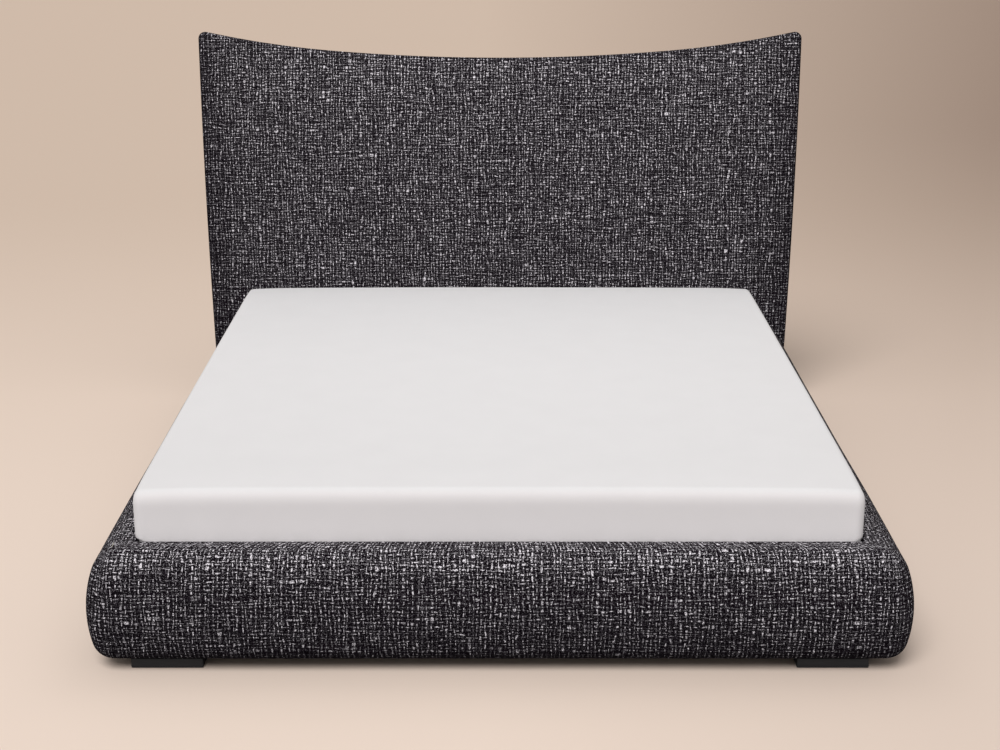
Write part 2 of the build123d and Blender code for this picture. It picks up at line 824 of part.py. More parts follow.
with BuildPart() as headboard_back_cover:
    add(
        headboard_layer(
            panel_face_depth,
            headboard_back_depth,
            back_panel_margin,
            back_panel_margin,
            panel_low_z,
            headboard_corner_radius,
        )
    )
    fillet(rim_edges(headboard_back_cover.edges(), headboard_back_depth), back_panel_thickness)
    add(
        headboard_layer(
            panel_face_depth - cut_overrun,
            panel_back_depth + fabric_fit,
            back_panel_margin + fabric_thickness,
            back_panel_margin + fabric_thickness,
            panel_low_z + fabric_thickness,
        ),
        mode=Mode.SUBTRACT,
    )
finish(headboard_back_cover.part, "headboard_back_cover")

# Corner brackets: bent steel angles, bolted to the ends and screwed to the side boards
for end, face_y, way in (("front", foot_board_y, 1), ("rear", head_face_y, -1)):
    for side_name, side in (("left", -1), ("right", 1)):
        with BuildPart() as bracket:
            with BuildSketch(Plane.XY.offset(bracket_low_z)):
                with Locations((side * board_face_x, face_y)):
                    legs = (bracket_leg, bracket_thickness)
                    x_align = Align.MAX if side > 0 else Align.MIN
                    y_align = Align.MIN if way > 0 else Align.MAX
                    Rectangle(*legs, align=(x_align, y_align))
                    Rectangle(*reversed(legs), align=(x_align, y_align))
            extrude(amount=bracket_height)
            bend_line = bracket.edges().filter_by(Axis.Z).sort_by_distance(
                (side * board_face_x, face_y, bracket_low_z + bracket_height / 2)
            )[0]
            fillet(bend_line, bracket_bend_radius)
            drill(foot_bolt_places + head_bolt_places, bolt_hole_radius, bracket_thickness)
            drill(bracket_screw_places, screw_hole_radius, bracket_thickness)
        finish(bracket.part, end + "_" + side_name + "_bracket")

with BuildPart() as bracket_screws:
    for place in bracket_screw_places + foot_hanger_screw_places + head_hanger_screw_places:
        with Locations(place.location):
            add(wood_screw)
finish(bracket_screws.part, "bracket_screws")

foot_bolt = screw(foot_bolt_length, bolt_radius, bolt_head_radius, bolt_head_height)
with BuildPart() as foot_rail_bolts:
    for place in foot_bolt_places:
        with Locations(place.location):
            add(foot_bolt)
finish(foot_rail_bolts.part, "foot_rail_bolts")

head_bolt = screw(head_bolt_length, bolt_radius, bolt_head_radius, bolt_head_height)
with BuildPart() as headboard_bolts:
    for place in head_bolt_places:
        with Locations(place.location):
            add(head_bolt)
finish(headboard_bolts.part, "headboard_bolts")

with BuildPart() as tee_nut_shape:
    Cylinder(
        tee_nut_flange_radius, tee_nut_flange_thickness, align=(Align.CENTER, Align.CENTER, Align.MAX)
    )
    Cylinder(
        tee_nut_barrel_radius, tee_nut_barrel_length, align=(Align.CENTER, Align.CENTER, Align.MIN)
    )
    Hole(bolt_radius + thread_fit)

with BuildPart() as tee_nuts:
    for place in foot_bolt_places:
        with Locations(place.offset(-bracket_thickness - rail_board_thickness).location):
            add(tee_nut_shape.part)
    for place in head_bolt_places:
        with Locations(place.offset(-bracket_thickness - skin_back_depth).location):
            add(tee_nut_shape.part)
finish(tee_nuts.part, "tee_nuts")

# Slatted base: ledges on the side boards, slats across, two straps of webbing over them
with BuildPart() as right_ledge:
    with Locations((board_face_x, mattress_y, ledge_top_z)):
        Box(
            ledge_width,
            ledge_high_y - ledge_low_y,
            ledge_height,
            align=(Align.MAX, Align.CENTER, Align.MAX),
        )
    fillet(right_ledge.edges().filter_by(Axis.Y).group_by(Axis.X)[0], ledge_edge_radius)
    drill(ledge_screw_places, screw_hole_radius, ledge_width)
    drill(slat_screw_places, screw_hole_radius, slat_screw_length + screw_fit)
finish(right_ledge.part, "right_ledge")

with BuildPart() as left_ledge:
    mirror(right_ledge.part, about=Plane.YZ)
finish(left_ledge.part, "left_ledge")

with BuildPart() as ledge_screws:
    for place in ledge_screw_places:
        with Locations(place.location):
            add(long_screw)
finish(ledge_screws.part, "ledge_screws")

with BuildPart() as slats:
    with Locations([(0, y, slat_deck_z) for y in slat_rows]):
        Box(
            2 * slat_half_length,
            slat_width,
            slat_thickness,
            align=(Align.CENTER, Align.CENTER, Align.MAX),
        )
    fillet(slats.edges().filter_by(Axis.X), slat_edge_radius)
    drill(slat_screw_places, screw_hole_radius, slat_thickness)
    clear_heads(slat_screw_places, screw_head_radius + screw_fit)
finish(slats.part, "slats")

with BuildPart() as slat_screws:
    for place in slat_screw_places:
        with Locations(place.location):
            add(slat_screw)
finish(slat_screws.part, "slat_screws")

webbing_length = slat_rows[-1] - slat_rows[0] + slat_width - 2 * slat_edge_radius
for side_name, side in (("left", -1), ("right", 1)):
    with BuildPart() as webbing:
        with Locations((side * webbing_spacing / 2, mattress_y, slat_deck_z)):
            Box(
                webbing_width,
                webbing_length,
                webbing_thickness,
                align=(Align.CENTER, Align.CENTER, Align.MIN),
            )
    finish(webbing.part, side_name + "_slat_webbing")

# Centre beam: a steel tube in two hangers, on legs with levelling feet
with BuildPart() as centre_beam:
    with BuildSketch(Plane.XZ.offset(-beam_low_y)):
        with Locations((0, ledge_top_z - beam_height / 2)):
            RectangleRounded(beam_width, beam_height, beam_corner_radius)
            RectangleRounded(
                beam_width - 2 * beam_wall,
                beam_height - 2 * beam_wall,
                beam_corner_radius - beam_wall,
                mode=Mode.SUBTRACT,
            )
    extrude(amount=beam_low_y - beam_high_y)
    drill(leg_screw_places, screw_hole_radius, leg_screw_length + screw_fit)
finish(centre_beam.part, "centre_beam")

for end, face_y, way in (("foot", foot_board_y, 1), ("head", head_face_y, -1)):
    y_align = Align.MIN if way > 0 else Align.MAX
    with BuildPart() as hanger:
        with Locations((0, face_y, hanger_low_z)):
            Box(
                hanger_plate_width,
                hanger_thickness,
                hanger_plate_height,
                align=(Align.CENTER, y_align, Align.MIN),
            )
            Box(
                beam_width + 2 * hanger_fit + 2 * hanger_thickness,
                hanger_reach,
                hanger_cheek_height,
                align=(Align.CENTER, y_align, Align.MIN),
            )
        with Locations((0, face_y + way * hanger_thickness, beam_low_z)):
            Box(
                beam_width + 2 * hanger_fit,
                hanger_reach,
                hanger_plate_height,
                align=(Align.CENTER, y_align, Align.MIN),
                mode=Mode.SUBTRACT,
            )
        drill(foot_hanger_screw_places + head_hanger_screw_places, screw_hole_radius, hanger_thickness)
    finish(hanger.part, end + "_beam_hanger")

leveller_nut_z = leveller_base_thickness + leveller_nut_height
rim_low_z = leveller_nut_z + leveller_travel
leg_low_z = rim_low_z + plug_rim_thickness
for leg_number, leg_y in enumerate(leg_rows):
    with BuildPart() as centre_leg:
        with BuildSketch(Plane((0, leg_y, leg_low_z))):
            Circle(leg_radius)
            Circle(leg_radius - leg_wall, mode=Mode.SUBTRACT)
        extrude(amount=leg_plate_z - leg_low_z)
        with Locations((0, leg_y, leg_plate_z)):
            Box(
                beam_width,
                leg_plate_length,
                leg_plate_thickness,
                align=(Align.CENTER, Align.CENTER, Align.MIN),
            )
        drill(leg_screw_places, screw_hole_radius, leg_plate_thickness)
    finish(centre_leg.part, "centre_leg_" + str(leg_number + 1))

    with BuildPart() as leg_plug:
        with BuildSketch(Plane((0, leg_y, rim_low_z))):
            Circle(leg_radius)
        extrude(amount=plug_rim_thickness)
        with BuildSketch(Plane((0, leg_y, leg_low_z))):
            Circle(leg_radius - leg_wall - plug_fit)
        extrude(amount=plug_depth)
        with BuildSketch(Plane((0, leg_y, rim_low_z))):
            Circle(leveller_stud_radius + leveller_fit)
        extrude(amount=plug_rim_thickness + plug_depth, mode=Mode.SUBTRACT)
    finish(leg_plug.part, "leg_plug_" + str(leg_number + 1))

    with BuildPart() as levelling_foot:
        with BuildSketch(Plane((0, leg_y, 0))):
            Circle(leveller_base_radius)
        extrude(amount=leveller_base_thickness)
        fillet(levelling_foot.edges(), leveller_base_thickness / 4)
        with BuildSketch(Plane((0, leg_y, leveller_base_thickness))):
            RegularPolygon(leveller_nut_width / 2, 6, major_radius=False)
        extrude(amount=leveller_nut_height)
        with BuildSketch(Plane((0, leg_y, leveller_nut_z))):
            Circle(leveller_stud_radius)
        extrude(amount=leveller_stud_length)
        chamfer(levelling_foot.faces().sort_by(Axis.Z)[-1].edges(), leveller_stud_radius / 4)
    finish(levelling_foot.part, "levelling_foot_" + str(leg_number + 1))

with BuildPart() as leg_screws:
    for place in leg_screw_places:
        with Locations(place.location):
            add(leg_screw)
finish(leg_screws.part, "leg_screws")

# Block feet, each screwed up into a sole, on felt pads
for foot_name, (x, y) in foot_places.items():
    with BuildPart() as foot_block:
        with Locations((x, y, foot_pad_thickness)):
            Box(
                foot_block_width,
                foot_block_depth,
                foot_block_height,
                align=(Align.CENTER, Align.CENTER, Align.MIN),
            )
        fillet(foot_block.edges().filter_by(Axis.Z), foot_block_edge_radius)
        drill(foot_screw_places, screw_hole_radius, foot_block_height)
        clear_heads(foot_screw_places, screw_head_radius + screw_fit)
    finish(foot_block.part, foot_name)

with BuildPart() as foot_pads:
    with Locations([(x, y, 0) for x, y in foot_places.values()]):
        Box(
            foot_block_width - 2 * foot_pad_margin,
            foot_block_depth - 2 * foot_pad_margin,
            foot_pad_thickness,
            align=(Align.CENTER, Align.CENTER, Align.MIN),
        )
finish(foot_pads.part, "foot_pads")

with BuildPart() as foot_screws:
    for place in foot_screw_places:
        with Locations(place.location):
            add(foot_screw)
finish(foot_screws.part, "foot_screws")

# Mattress: a foam core and a softer upper layer in a closed cover
layer_z = mattress_top_z - ticking_thickness - comfort_layer_thickness
with BuildPart() as mattress_core:
    add(mattress_form(ticking_thickness + fabric_fit))
    split(bisect_by=Plane.XY.offset(layer_z), keep=Keep.BOTTOM)
finish(mattress_core.part, "mattress_core")

with BuildPart() as mattress_comfort_layer:
    add(mattress_form(ticking_thickness + fabric_fit))
    split(bisect_by=Plane.XY.offset(layer_z), keep=Keep.TOP)
finish(mattress_comfort_layer.part, "mattress_comfort_layer")

with BuildPart() as mattress_cover:
    add(mattress_form(0))
    add(mattress_form(ticking_thickness), mode=Mode.SUBTRACT)
finish(mattress_cover.part, "mattress_cover")
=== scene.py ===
from math import asin, cos, pi, radians, sin

import bmesh
import bpy
import numpy as np
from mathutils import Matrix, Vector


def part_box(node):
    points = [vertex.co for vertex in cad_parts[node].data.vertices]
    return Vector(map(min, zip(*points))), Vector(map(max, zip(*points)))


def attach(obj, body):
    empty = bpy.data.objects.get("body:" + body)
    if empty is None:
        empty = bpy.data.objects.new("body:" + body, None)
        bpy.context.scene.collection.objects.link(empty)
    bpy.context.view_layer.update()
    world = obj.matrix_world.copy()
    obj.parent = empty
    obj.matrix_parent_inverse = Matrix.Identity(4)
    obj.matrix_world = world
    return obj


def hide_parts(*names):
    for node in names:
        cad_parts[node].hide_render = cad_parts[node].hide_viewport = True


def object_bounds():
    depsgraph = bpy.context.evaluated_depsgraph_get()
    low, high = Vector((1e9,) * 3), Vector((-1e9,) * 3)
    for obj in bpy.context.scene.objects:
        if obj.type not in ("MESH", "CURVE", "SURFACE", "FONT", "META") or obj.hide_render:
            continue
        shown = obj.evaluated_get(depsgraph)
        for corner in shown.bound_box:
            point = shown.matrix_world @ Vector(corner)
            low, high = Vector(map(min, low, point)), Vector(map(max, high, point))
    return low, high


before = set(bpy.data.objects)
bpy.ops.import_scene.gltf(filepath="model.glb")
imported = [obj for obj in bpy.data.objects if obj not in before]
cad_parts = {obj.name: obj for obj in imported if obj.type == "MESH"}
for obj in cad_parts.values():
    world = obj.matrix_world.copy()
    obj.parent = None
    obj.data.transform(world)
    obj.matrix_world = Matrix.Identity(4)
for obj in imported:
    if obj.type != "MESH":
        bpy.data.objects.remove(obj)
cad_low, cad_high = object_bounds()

# The camera stands in front of the foot end, a little above eye height, and looks down
# the middle of the bed with a long lens.
camera_height = 1.946
camera_distance = 3.671
camera_pitch = radians(17.57)
camera_lens = 59.47

scene = bpy.context.scene
scene.view_settings.view_transform = "Standard"
camera_data = bpy.data.cameras.new("camera")
camera_data.lens = camera_lens
camera_data.sensor_width = 36
camera = bpy.data.objects.new("camera", camera_data)
camera.location = (0, cad_low.y - camera_distance, camera_height)
camera.rotation_euler = (pi / 2 - camera_pitch, 0, 0)
scene.collection.objects.link(camera)
scene.camera = camera


# The studio: a seamless warm beige floor that pales towards the front as painted light falloff,
# darkens in a fan to the right as a painted shadow and fades into the backdrop, a soft steep
# sun from the front left, a square soft lamp over the bed, and an even light from all round.
def add_node(tree, kind, inputs=None, **settings):
    """Adds a node with its options set, and feeds its inputs: sockets are linked, values are set."""
    node = tree.nodes.new(kind)
    for name, value in settings.items():
        setattr(node, name, value)
    for key, value in (inputs or {}).items():
        if isinstance(value, bpy.types.NodeSocket):
            tree.links.new(value, node.inputs[key])
        else:
            node.inputs[key].default_value = value
    return node


def calculate(tree, operation, *values):
    """One step of arithmetic on sockets or numbers."""
    return add_node(tree, "ShaderNodeMath", dict(enumerate(values)), operation=operation).outputs[0]


def product(tree, first, *others):
    """Sockets or numbers multiplied together."""
    for value in others:
        first = calculate(tree, "MULTIPLY", first, value)
    return first


def remap(tree, value, low, high, to_low=0.0, to_high=1.0, smooth=True):
    """value carried from low..high to to_low..to_high, eased at both ends when smooth."""
    kind = "SMOOTHSTEP" if smooth else "LINEAR"
    inputs = {"Value": value, "From Min": low, "From Max": high, "To Min": to_low, "To Max": to_high}
    return add_node(tree, "ShaderNodeMapRange", inputs, interpolation_type=kind).outputs["Result"]


def blend_colours(tree, share, first, second, kind="MIX"):
    """first and second mixed by share."""
    mix = add_node(tree, "ShaderNodeMix", data_type="RGBA", blend_type=kind)
    sockets = (mix.inputs["Factor"], mix.inputs[6], mix.inputs[7])
    for socket, value in zip(sockets, (share, first, second)):
        if isinstance(value, bpy.types.NodeSocket):
            tree.links.new(value, socket)
        else:
            socket.default_value = value
    return mix.outputs[2]


def new_material(name, constants=None):
    """A material with one Principled BSDF whose own sockets hold the values that don't vary."""
    material = bpy.data.materials.new(name)
    material.use_nodes = True
    shader = material.node_tree.nodes["Principled BSDF"]
    for key, value in (constants or {}).items():
        shader.inputs[key].default_value = value
    return material, material.node_tree, shader


def object_place(tree):
    """The place on the object, in metres."""
    return add_node(tree, "ShaderNodeTexCoord").outputs["Object"]


def components(tree, vector):
    """A vector's X, Y and Z, by name."""
    return add_node(tree, "ShaderNodeSeparateXYZ", {"Vector": vector}).outputs


floor_half_width = 60.0
# Painted light falloff: the near colour is the paper as lit near the bed; the far colour is darker, and is
# also the backdrop's.
floor_near_colour = (0.80, 0.664, 0.571, 1)
floor_far_colour = (0.625, 0.498, 0.405, 1)
floor_painted_shadow_colour = (0.05, 0.008, 0.0, 1)
floor_bounce_colour = (0.36, 0.345, 0.335, 1)
pale_until_y = -2.0
far_from_y = 5.0
fades_from = 7.0
faded_at = 30.0
fan_y = -4.836
fan_least_depth = 0.5
fan_slopes = (-0.01, 0.30)
fan_end_slopes = (0.45, 1.5)
fan_starts_y = (-4.3, -1.9)
fan_darkest_y = 8.0
fan_near_share = 0.10
fan_far_share = 0.50

floor_material, tree, shader = new_material("seamless_paper", {"Roughness": 0.9, "Specular IOR Level": 0.1})
here = object_place(tree)
place = components(tree, here)
distance = add_node(tree, "ShaderNodeVectorMath", {0: here}, operation="LENGTH").outputs["Value"]
# Painted light falloff: paler towards the front, darker further back; further off the paper fades into the
# backdrop's colour.
painted_falloff_and_fade = remap(tree, place["Y"], pale_until_y, far_from_y)
painted_falloff_and_fade = calculate(tree, "MAXIMUM", painted_falloff_and_fade, remap(tree, distance, fades_from, faded_at))
# Painted shadow: the paper is darkened in a fan that opens to the right from a point in front of the bed,
# deeper further back, standing in for shadow there.
depth = calculate(tree, "MAXIMUM", calculate(tree, "SUBTRACT", place["Y"], fan_y), fan_least_depth)
slope = calculate(tree, "DIVIDE", place["X"], depth)
painted_shadow_share = product(
    tree,
    remap(tree, slope, *fan_slopes, smooth=False),
    remap(tree, place["Y"], pale_until_y, fan_darkest_y, fan_near_share, fan_far_share),
    remap(tree, place["Y"], *fan_starts_y),
)
painted_shadow_end = remap(tree, slope, *fan_end_slopes, fan_far_share, 0.0)
painted_shadow_share = calculate(tree, "MINIMUM", painted_shadow_share, painted_shadow_end)
paper = blend_colours(tree, painted_falloff_and_fade, floor_near_colour, floor_far_colour)
paper = blend_colours(tree, painted_shadow_share, paper, floor_painted_shadow_colour)
seen = add_node(tree, "ShaderNodeLightPath").outputs["Is Camera Ray"]
tree.links.new(blend_colours(tree, seen, floor_bounce_colour, paper), shader.inputs["Base Color"])

floor_mesh = bpy.data.meshes.new("floor")
floor_mesh.from_pydata(
    [(x * floor_half_width, y * floor_half_width, 0) for x, y in ((-1, -1), (1, -1), (1, 1), (-1, 1))],
    [],
    [(0, 1, 2, 3)],
)
floor_mesh.materials.append(floor_material)
floor = bpy.data.objects.new("floor", floor_mesh)
scene.collection.objects.link(floor)

world = bpy.data.worlds.new("studio")
world.use_nodes = True
scene.world = world
tree = world.node_tree
light_path = add_node(tree, "ShaderNodeLightPath")
seen = calculate(tree, "MAXIMUM", light_path.outputs["Is Camera Ray"], light_path.outputs["Is Glossy Ray"])
seen = calculate(tree, "MAXIMUM", seen, light_path.outputs["Is Transmission Ray"])
fill_light = tree.nodes["Background"]
fill_light.inputs["Color"].default_value = (1.0, 0.985, 0.97, 1)
fill_light.inputs["Strength"].default_value = 0.40
backdrop = add_node(tree, "ShaderNodeBackground", {"Color": floor_far_colour, "Strength": 1.0})
shown = add_node(tree, "ShaderNodeMixShader", {0: seen, 1: fill_light.outputs[0], 2: backdrop.outputs[0]})
tree.links.new(shown.outputs[0], tree.nodes["World Output"].inputs["Surface"])

key_data = bpy.data.lights.new("key", "SUN")
key_data.energy = 2.3
key_data.angle = radians(35)
key = bpy.data.objects.new("key", key_data)
key.rotation_euler = (radians(35), 0, radians(-18))
scene.collection.objects.link(key)
overhead_data = bpy.data.lights.new("overhead", "AREA")
overhead_data.energy = 8
overhead_data.size = 1.5
overhead = bpy.data.objects.new("overhead", overhead_data)
overhead.location = (0, 0.1, 2.6)
scene.collection.objects.link(overhead)


# Structural timber: birch plywood boards on edge, planed pine soles, posts and ledges, and
# sanded beech slats, all bare, cut to length and screwed together.
def new_group(name, inputs, outputs):
    """An empty shader node group with named sockets, and its input and output nodes."""
    group = bpy.data.node_groups.new(name, "ShaderNodeTree")
    for socket_name, kind, value in inputs:
        socket = group.interface.new_socket(socket_name, in_out="INPUT", socket_type="NodeSocket" + kind)
        if value is not None:
            socket.default_value = value
    for socket_name, kind in outputs:
        group.interface.new_socket(socket_name, in_out="OUTPUT", socket_type="NodeSocket" + kind)
    return group, group.nodes.new("NodeGroupInput"), group.nodes.new("NodeGroupOutput")


def noise(tree, vector, scale, detail=2.0, roughness=0.5):
    """Blender's noise, from 0 to 1 about one half."""
    inputs = {"Vector": vector, "Scale": scale, "Detail": detail, "Roughness": roughness}
    return add_node(tree, "ShaderNodeTexNoise", inputs).outputs["Fac"]


def stretched(tree, vector, factors):
    """A vector with its components multiplied by factors, to draw a pattern out."""
    return add_node(tree, "ShaderNodeVectorMath", {0: vector, 1: factors}, operation="MULTIPLY").outputs[0]


def add_bump(tree, shader, height, strength, distance):
    """Relief on a shader: a height of one stands for the distance, in metres."""
    bump = add_node(tree, "ShaderNodeBump", {"Height": height, "Strength": strength, "Distance": distance})
    tree.links.new(bump.outputs["Normal"], shader.inputs["Normal"])


ring_drift = 0.09
late_wood_share = 0.55
fibre_share = 0.4
fibre_stretch = (6.0, 260.0, 260.0)
grain, given, made = new_group(
    "wood_grain",
    [
        ("Vector", "Vector", None),
        ("Early wood", "Color", None),
        ("Late wood", "Color", None),
        ("Ring width", "Float", None),
    ],
    [("Color", "Color"), ("Height", "Float")],
)
along_grain = given.outputs["Vector"]
late_wood = given.outputs["Late wood"]
ring_place = components(grain, along_grain)
across = calculate(grain, "ADD", ring_place["Y"], ring_place["Z"])
across = calculate(grain, "MULTIPLY_ADD", noise(grain, along_grain, 2.2), ring_drift, across)
rings = calculate(grain, "DIVIDE", across, given.outputs["Ring width"])
rings = remap(grain, calculate(grain, "SINE", product(grain, rings, 2 * pi)), -0.6, 1.0)
fibres = noise(grain, stretched(grain, along_grain, fibre_stretch), 1.0, 3.0, 0.6)
wood = blend_colours(grain, product(grain, rings, late_wood_share), given.outputs["Early wood"], late_wood)
wood = blend_colours(grain, remap(grain, fibres, 0.35, 0.75, 0.0, fibre_share), wood, late_wood)
grain.links.new(wood, made.inputs["Color"])
grain.links.new(calculate(grain, "MULTIPLY_ADD", rings, 0.3, fibres), made.inputs["Height"])


def timber(name, early, late, ring_width, turn=(0, 0, 0)):
    """A bare timber whose grain runs along X before it is turned."""
    material, tree, shader = new_material(name, {"Roughness": 0.62, "Specular IOR Level": 0.35})
    turned = add_node(tree, "ShaderNodeMapping", {"Vector": object_place(tree), "Rotation": turn})
    values = {"Vector": turned.outputs["Vector"], "Early wood": early, "Late wood": late}
    values["Ring width"] = ring_width
    wood = add_node(tree, "ShaderNodeGroup", values, node_tree=grain)
    tree.links.new(wood.outputs["Color"], shader.inputs["Base Color"])
    add_bump(tree, shader, wood.outputs["Height"], 0.25, 0.0006)
    return material


def finish_nodes(material, slot, *nodes):
    """Gives CAD nodes their finish."""
    for node in nodes:
        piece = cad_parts[node]
        piece.data.materials.clear()
        piece.data.materials.append(material)


along_y = (0, 0, pi / 2)
along_z = (0, pi / 2, 0)
birch = ((0.66, 0.49, 0.31, 1), (0.52, 0.36, 0.20, 1), 0.030)
pine = ((0.72, 0.52, 0.30, 1), (0.50, 0.29, 0.13, 1), 0.014)
beech = ((0.60, 0.42, 0.26, 1), (0.45, 0.29, 0.16, 1), 0.010)
birch_across = timber("birch_ply_across", *birch)
birch_along = timber("birch_ply_along", *birch, along_y)
birch_upright = timber("birch_ply_upright", *birch, along_z)
pine_across = timber("pine_across", *pine)
pine_along = timber("pine_along", *pine, along_y)
pine_upright = timber("pine_upright", *pine, along_z)
finish_nodes(birch_across, "plywood", "foot_rail_board", "headboard_lower_board")
finish_nodes(birch_along, "plywood", "left_side_board", "right_side_board")
finish_nodes(birch_upright, "plywood", "headboard_skin", "headboard_back_panel")
finish_nodes(pine_across, "pine", "foot_rail_sole", "headboard_sole", "headboard_top_rail")
finish_nodes(pine_along, "pine", "left_side_sole", "right_side_sole", "left_ledge", "right_ledge")
finish_nodes(pine_upright, "pine", "headboard_left_post", "headboard_right_post")
finish_nodes(pine_upright, "pine", "headboard_rib_1", "headboard_rib_2", "headboard_rib_3")
finish_nodes(timber("sanded_beech", *beech), "beech", "slats")


# Metal, plastic, felt and foam: powder-coated steel angles, hangers, beam and legs, zinc-plated
# fasteners, moulded plugs and levelling feet, felt pads glued under the blocks, and the cut
# foam that is glued on the boards and fills the mattress.
def plain_finish(name, colour, variation, grain_scale, height, roughness, constants=None):
    """A finish with a fine cellular texture: orange peel, blasting, moulding or felted fibres."""
    material, tree, shader = new_material(name, constants)
    here = object_place(tree)
    fine = noise(tree, here, grain_scale, 3.0, 0.6)
    broad = noise(tree, here, grain_scale / 40)
    darker = (*(channel * (1 - variation) for channel in colour), 1)
    lighter = (*(min(1.0, channel * (1 + variation)) for channel in colour), 1)
    mixed = remap(tree, calculate(tree, "MULTIPLY_ADD", fine, 0.5, product(tree, broad, 0.5)), 0.3, 0.7)
    tree.links.new(blend_colours(tree, mixed, darker, lighter), shader.inputs["Base Color"])
    gloss = remap(tree, broad, 0.3, 0.7, roughness - 0.06, roughness + 0.06)
    tree.links.new(gloss, shader.inputs["Roughness"])
    add_bump(tree, shader, fine, 0.3, height)
    return material


powder_coat = plain_finish("black_powder_coat", (0.018, 0.018, 0.019), 0.25, 900, 0.0002, 0.5)
zinc = plain_finish("bright_zinc", (0.56, 0.57, 0.58), 0.12, 600, 0.00008, 0.34, {"Metallic": 1.0})
moulded = plain_finish("moulded_black", (0.014, 0.014, 0.015), 0.2, 1500, 0.0001, 0.55)
felt = plain_finish("pressed_felt", (0.05, 0.05, 0.05), 0.35, 1800, 0.0008, 0.95, {"Sheen Weight": 0.3})
foam = plain_finish("open_cell_foam", (0.78, 0.74, 0.62), 0.14, 700, 0.0012, 0.95)
steel = "powder_coated_steel"
finish_nodes(powder_coat, steel, "centre_beam", "foot_beam_hanger", "head_beam_hanger")
finish_nodes(powder_coat, steel, "centre_leg_1", "centre_leg_2", "front_left_bracket")
finish_nodes(powder_coat, steel, "front_right_bracket", "rear_left_bracket", "rear_right_bracket")
finish_nodes(zinc, "zinc_plated_steel", "foot_rail_bolts", "headboard_bolts", "tee_nuts", "foot_screws")
finish_nodes(zinc, "zinc_plated_steel", "bracket_screws", "ledge_screws", "slat_screws", "leg_screws")
finish_nodes(moulded, "black_plastic", "leg_plug_1", "leg_plug_2", "levelling_foot_1", "levelling_foot_2")
finish_nodes(felt, "felt", "foot_pads")
finish_nodes(foam, "foam", "foot_rail_foam", "left_side_foam", "right_side_foam")
finish_nodes(foam, "foam", "headboard_foam", "mattress_core", "mattress_comfort_layer")

# Block feet: four low blocks of solid wood under a satin black lacquer, its pores just showing
# through, screwed up into the soles of the rails and the headboard.
pore_stretch = (25.0, 600.0, 600.0)
lacquer_black = (0.006, 0.006, 0.008, 1)
lacquer_grey = (0.013, 0.013, 0.016, 1)
lacquer, tree, shader = new_material("black_lacquer", {"Coat Weight": 0.25, "Coat Roughness": 0.3})
pores = noise(tree, stretched(tree, object_place(tree), pore_stretch), 1.0)
speckle = blend_colours(tree, remap(tree, pores, 0.35, 0.7), lacquer_black, lacquer_grey)
tree.links.new(speckle, shader.inputs["Base Color"])
tree.links.new(remap(tree, pores, 0.3, 0.7, 0.42, 0.55), shader.inputs["Roughness"])
add_bump(tree, shader, pores, 0.2, 0.0002)
lacquered = "black_lacquered_wood"
finish_nodes(lacquer, lacquered, "front_left_foot", "front_right_foot", "rear_left_foot", "rear_right_foot")

# Slat webbing: two black polypropylene tapes in a herringbone weave, stapled over the slats
# to keep them at their spacing.
tape_rib = 0.0024
tape_dark = (0.010, 0.010, 0.011, 1)
tape_pale = (0.045, 0.045, 0.048, 1)
tape, tree, shader = new_material("black_webbing", {"Roughness": 0.7, "Sheen Weight": 0.15})
place = components(tree, object_place(tree))
zigzag = calculate(tree, "PINGPONG", place["X"], 2 * tape_rib)
rib = calculate(tree, "DIVIDE", calculate(tree, "ADD", place["Y"], zigzag), tape_rib)
rib = calculate(tree, "SINE", product(tree, rib, 2 * pi))
herringbone = blend_colours(tree, remap(tree, rib, -1.0, 1.0), tape_dark, tape_pale)
tree.links.new(herringbone, shader.inputs["Base Color"])
add_bump(tree, shader, rib, 0.5, 0.0005)
finish_nodes(tape, "webbing", "left_slat_webbing", "right_slat_webbing")

# Upholstery cloth: a heavy charcoal tweed. Thick slubbed yarns, black with flecks of grey and
# white, cross in a loose plain weave over a black ground. Each piece has a map of its cloth in
# metres, with the warp up the cloth.
warp_pitch = 0.0113
weft_pitch = 0.0103
warp_wander = 0.036
weft_wander = 0.037
half_core = 0.155
half_yarn = 0.38
yarn_rise = 0.75
flat_top = 0.10
crossing_light = 0.35
fleck_rate = 1.6
run_rate = 0.16
yarn_apart = 17.37
patch_scale = 22.0
fibre_scale = 560.0
slub_scale = 350.0
nep_scale = 380.0

weave, given, made = new_group(
    "tweed_weave",
    [
        ("Vector", "Vector", None),
        ("Warp pitch", "Float", warp_pitch),
        ("Weft pitch", "Float", weft_pitch),
        ("Painted light and shade", "Float", 1.0),
        ("Light yarn", "Color", (0.87, 0.83, 0.875, 1)),
        ("Dark yarn", "Color", (0.016, 0.0115, 0.017, 1)),
        ("Ground", "Color", (0.003, 0.0015, 0.0032, 1)),
    ],
    [("Color", "Color"), ("Height", "Float")],
)
cloth_place = given.outputs["Vector"]


def moved(vector, by):
    """The sum of two vectors."""
    return add_node(weave, "ShaderNodeVectorMath", {0: vector, 1: by}, operation="ADD").outputs[0]


def combined(x, y, z):
    """A vector of three sockets or numbers."""
    return add_node(weave, "ShaderNodeCombineXYZ", {"X": x, "Y": y, "Z": z}).outputs["Vector"]


def wander(stretch, seed, amount):
    """How far yarns lie aside of an even spacing: it changes fast across them, slowly along."""
    at = moved(stretched(weave, cloth_place, stretch), (0, 0, seed))
    return product(weave, calculate(weave, "SUBTRACT", noise(weave, at, 1.0, 4.0, 0.65), 0.5), amount)


def yarn_noise(along, rate, number, seed):
    """Noise along one yarn, a row of its own for each yarn's number."""
    at = combined(product(weave, along, rate), product(weave, number, yarn_apart), seed)
    return noise(weave, at, 1.0, detail=1.0)


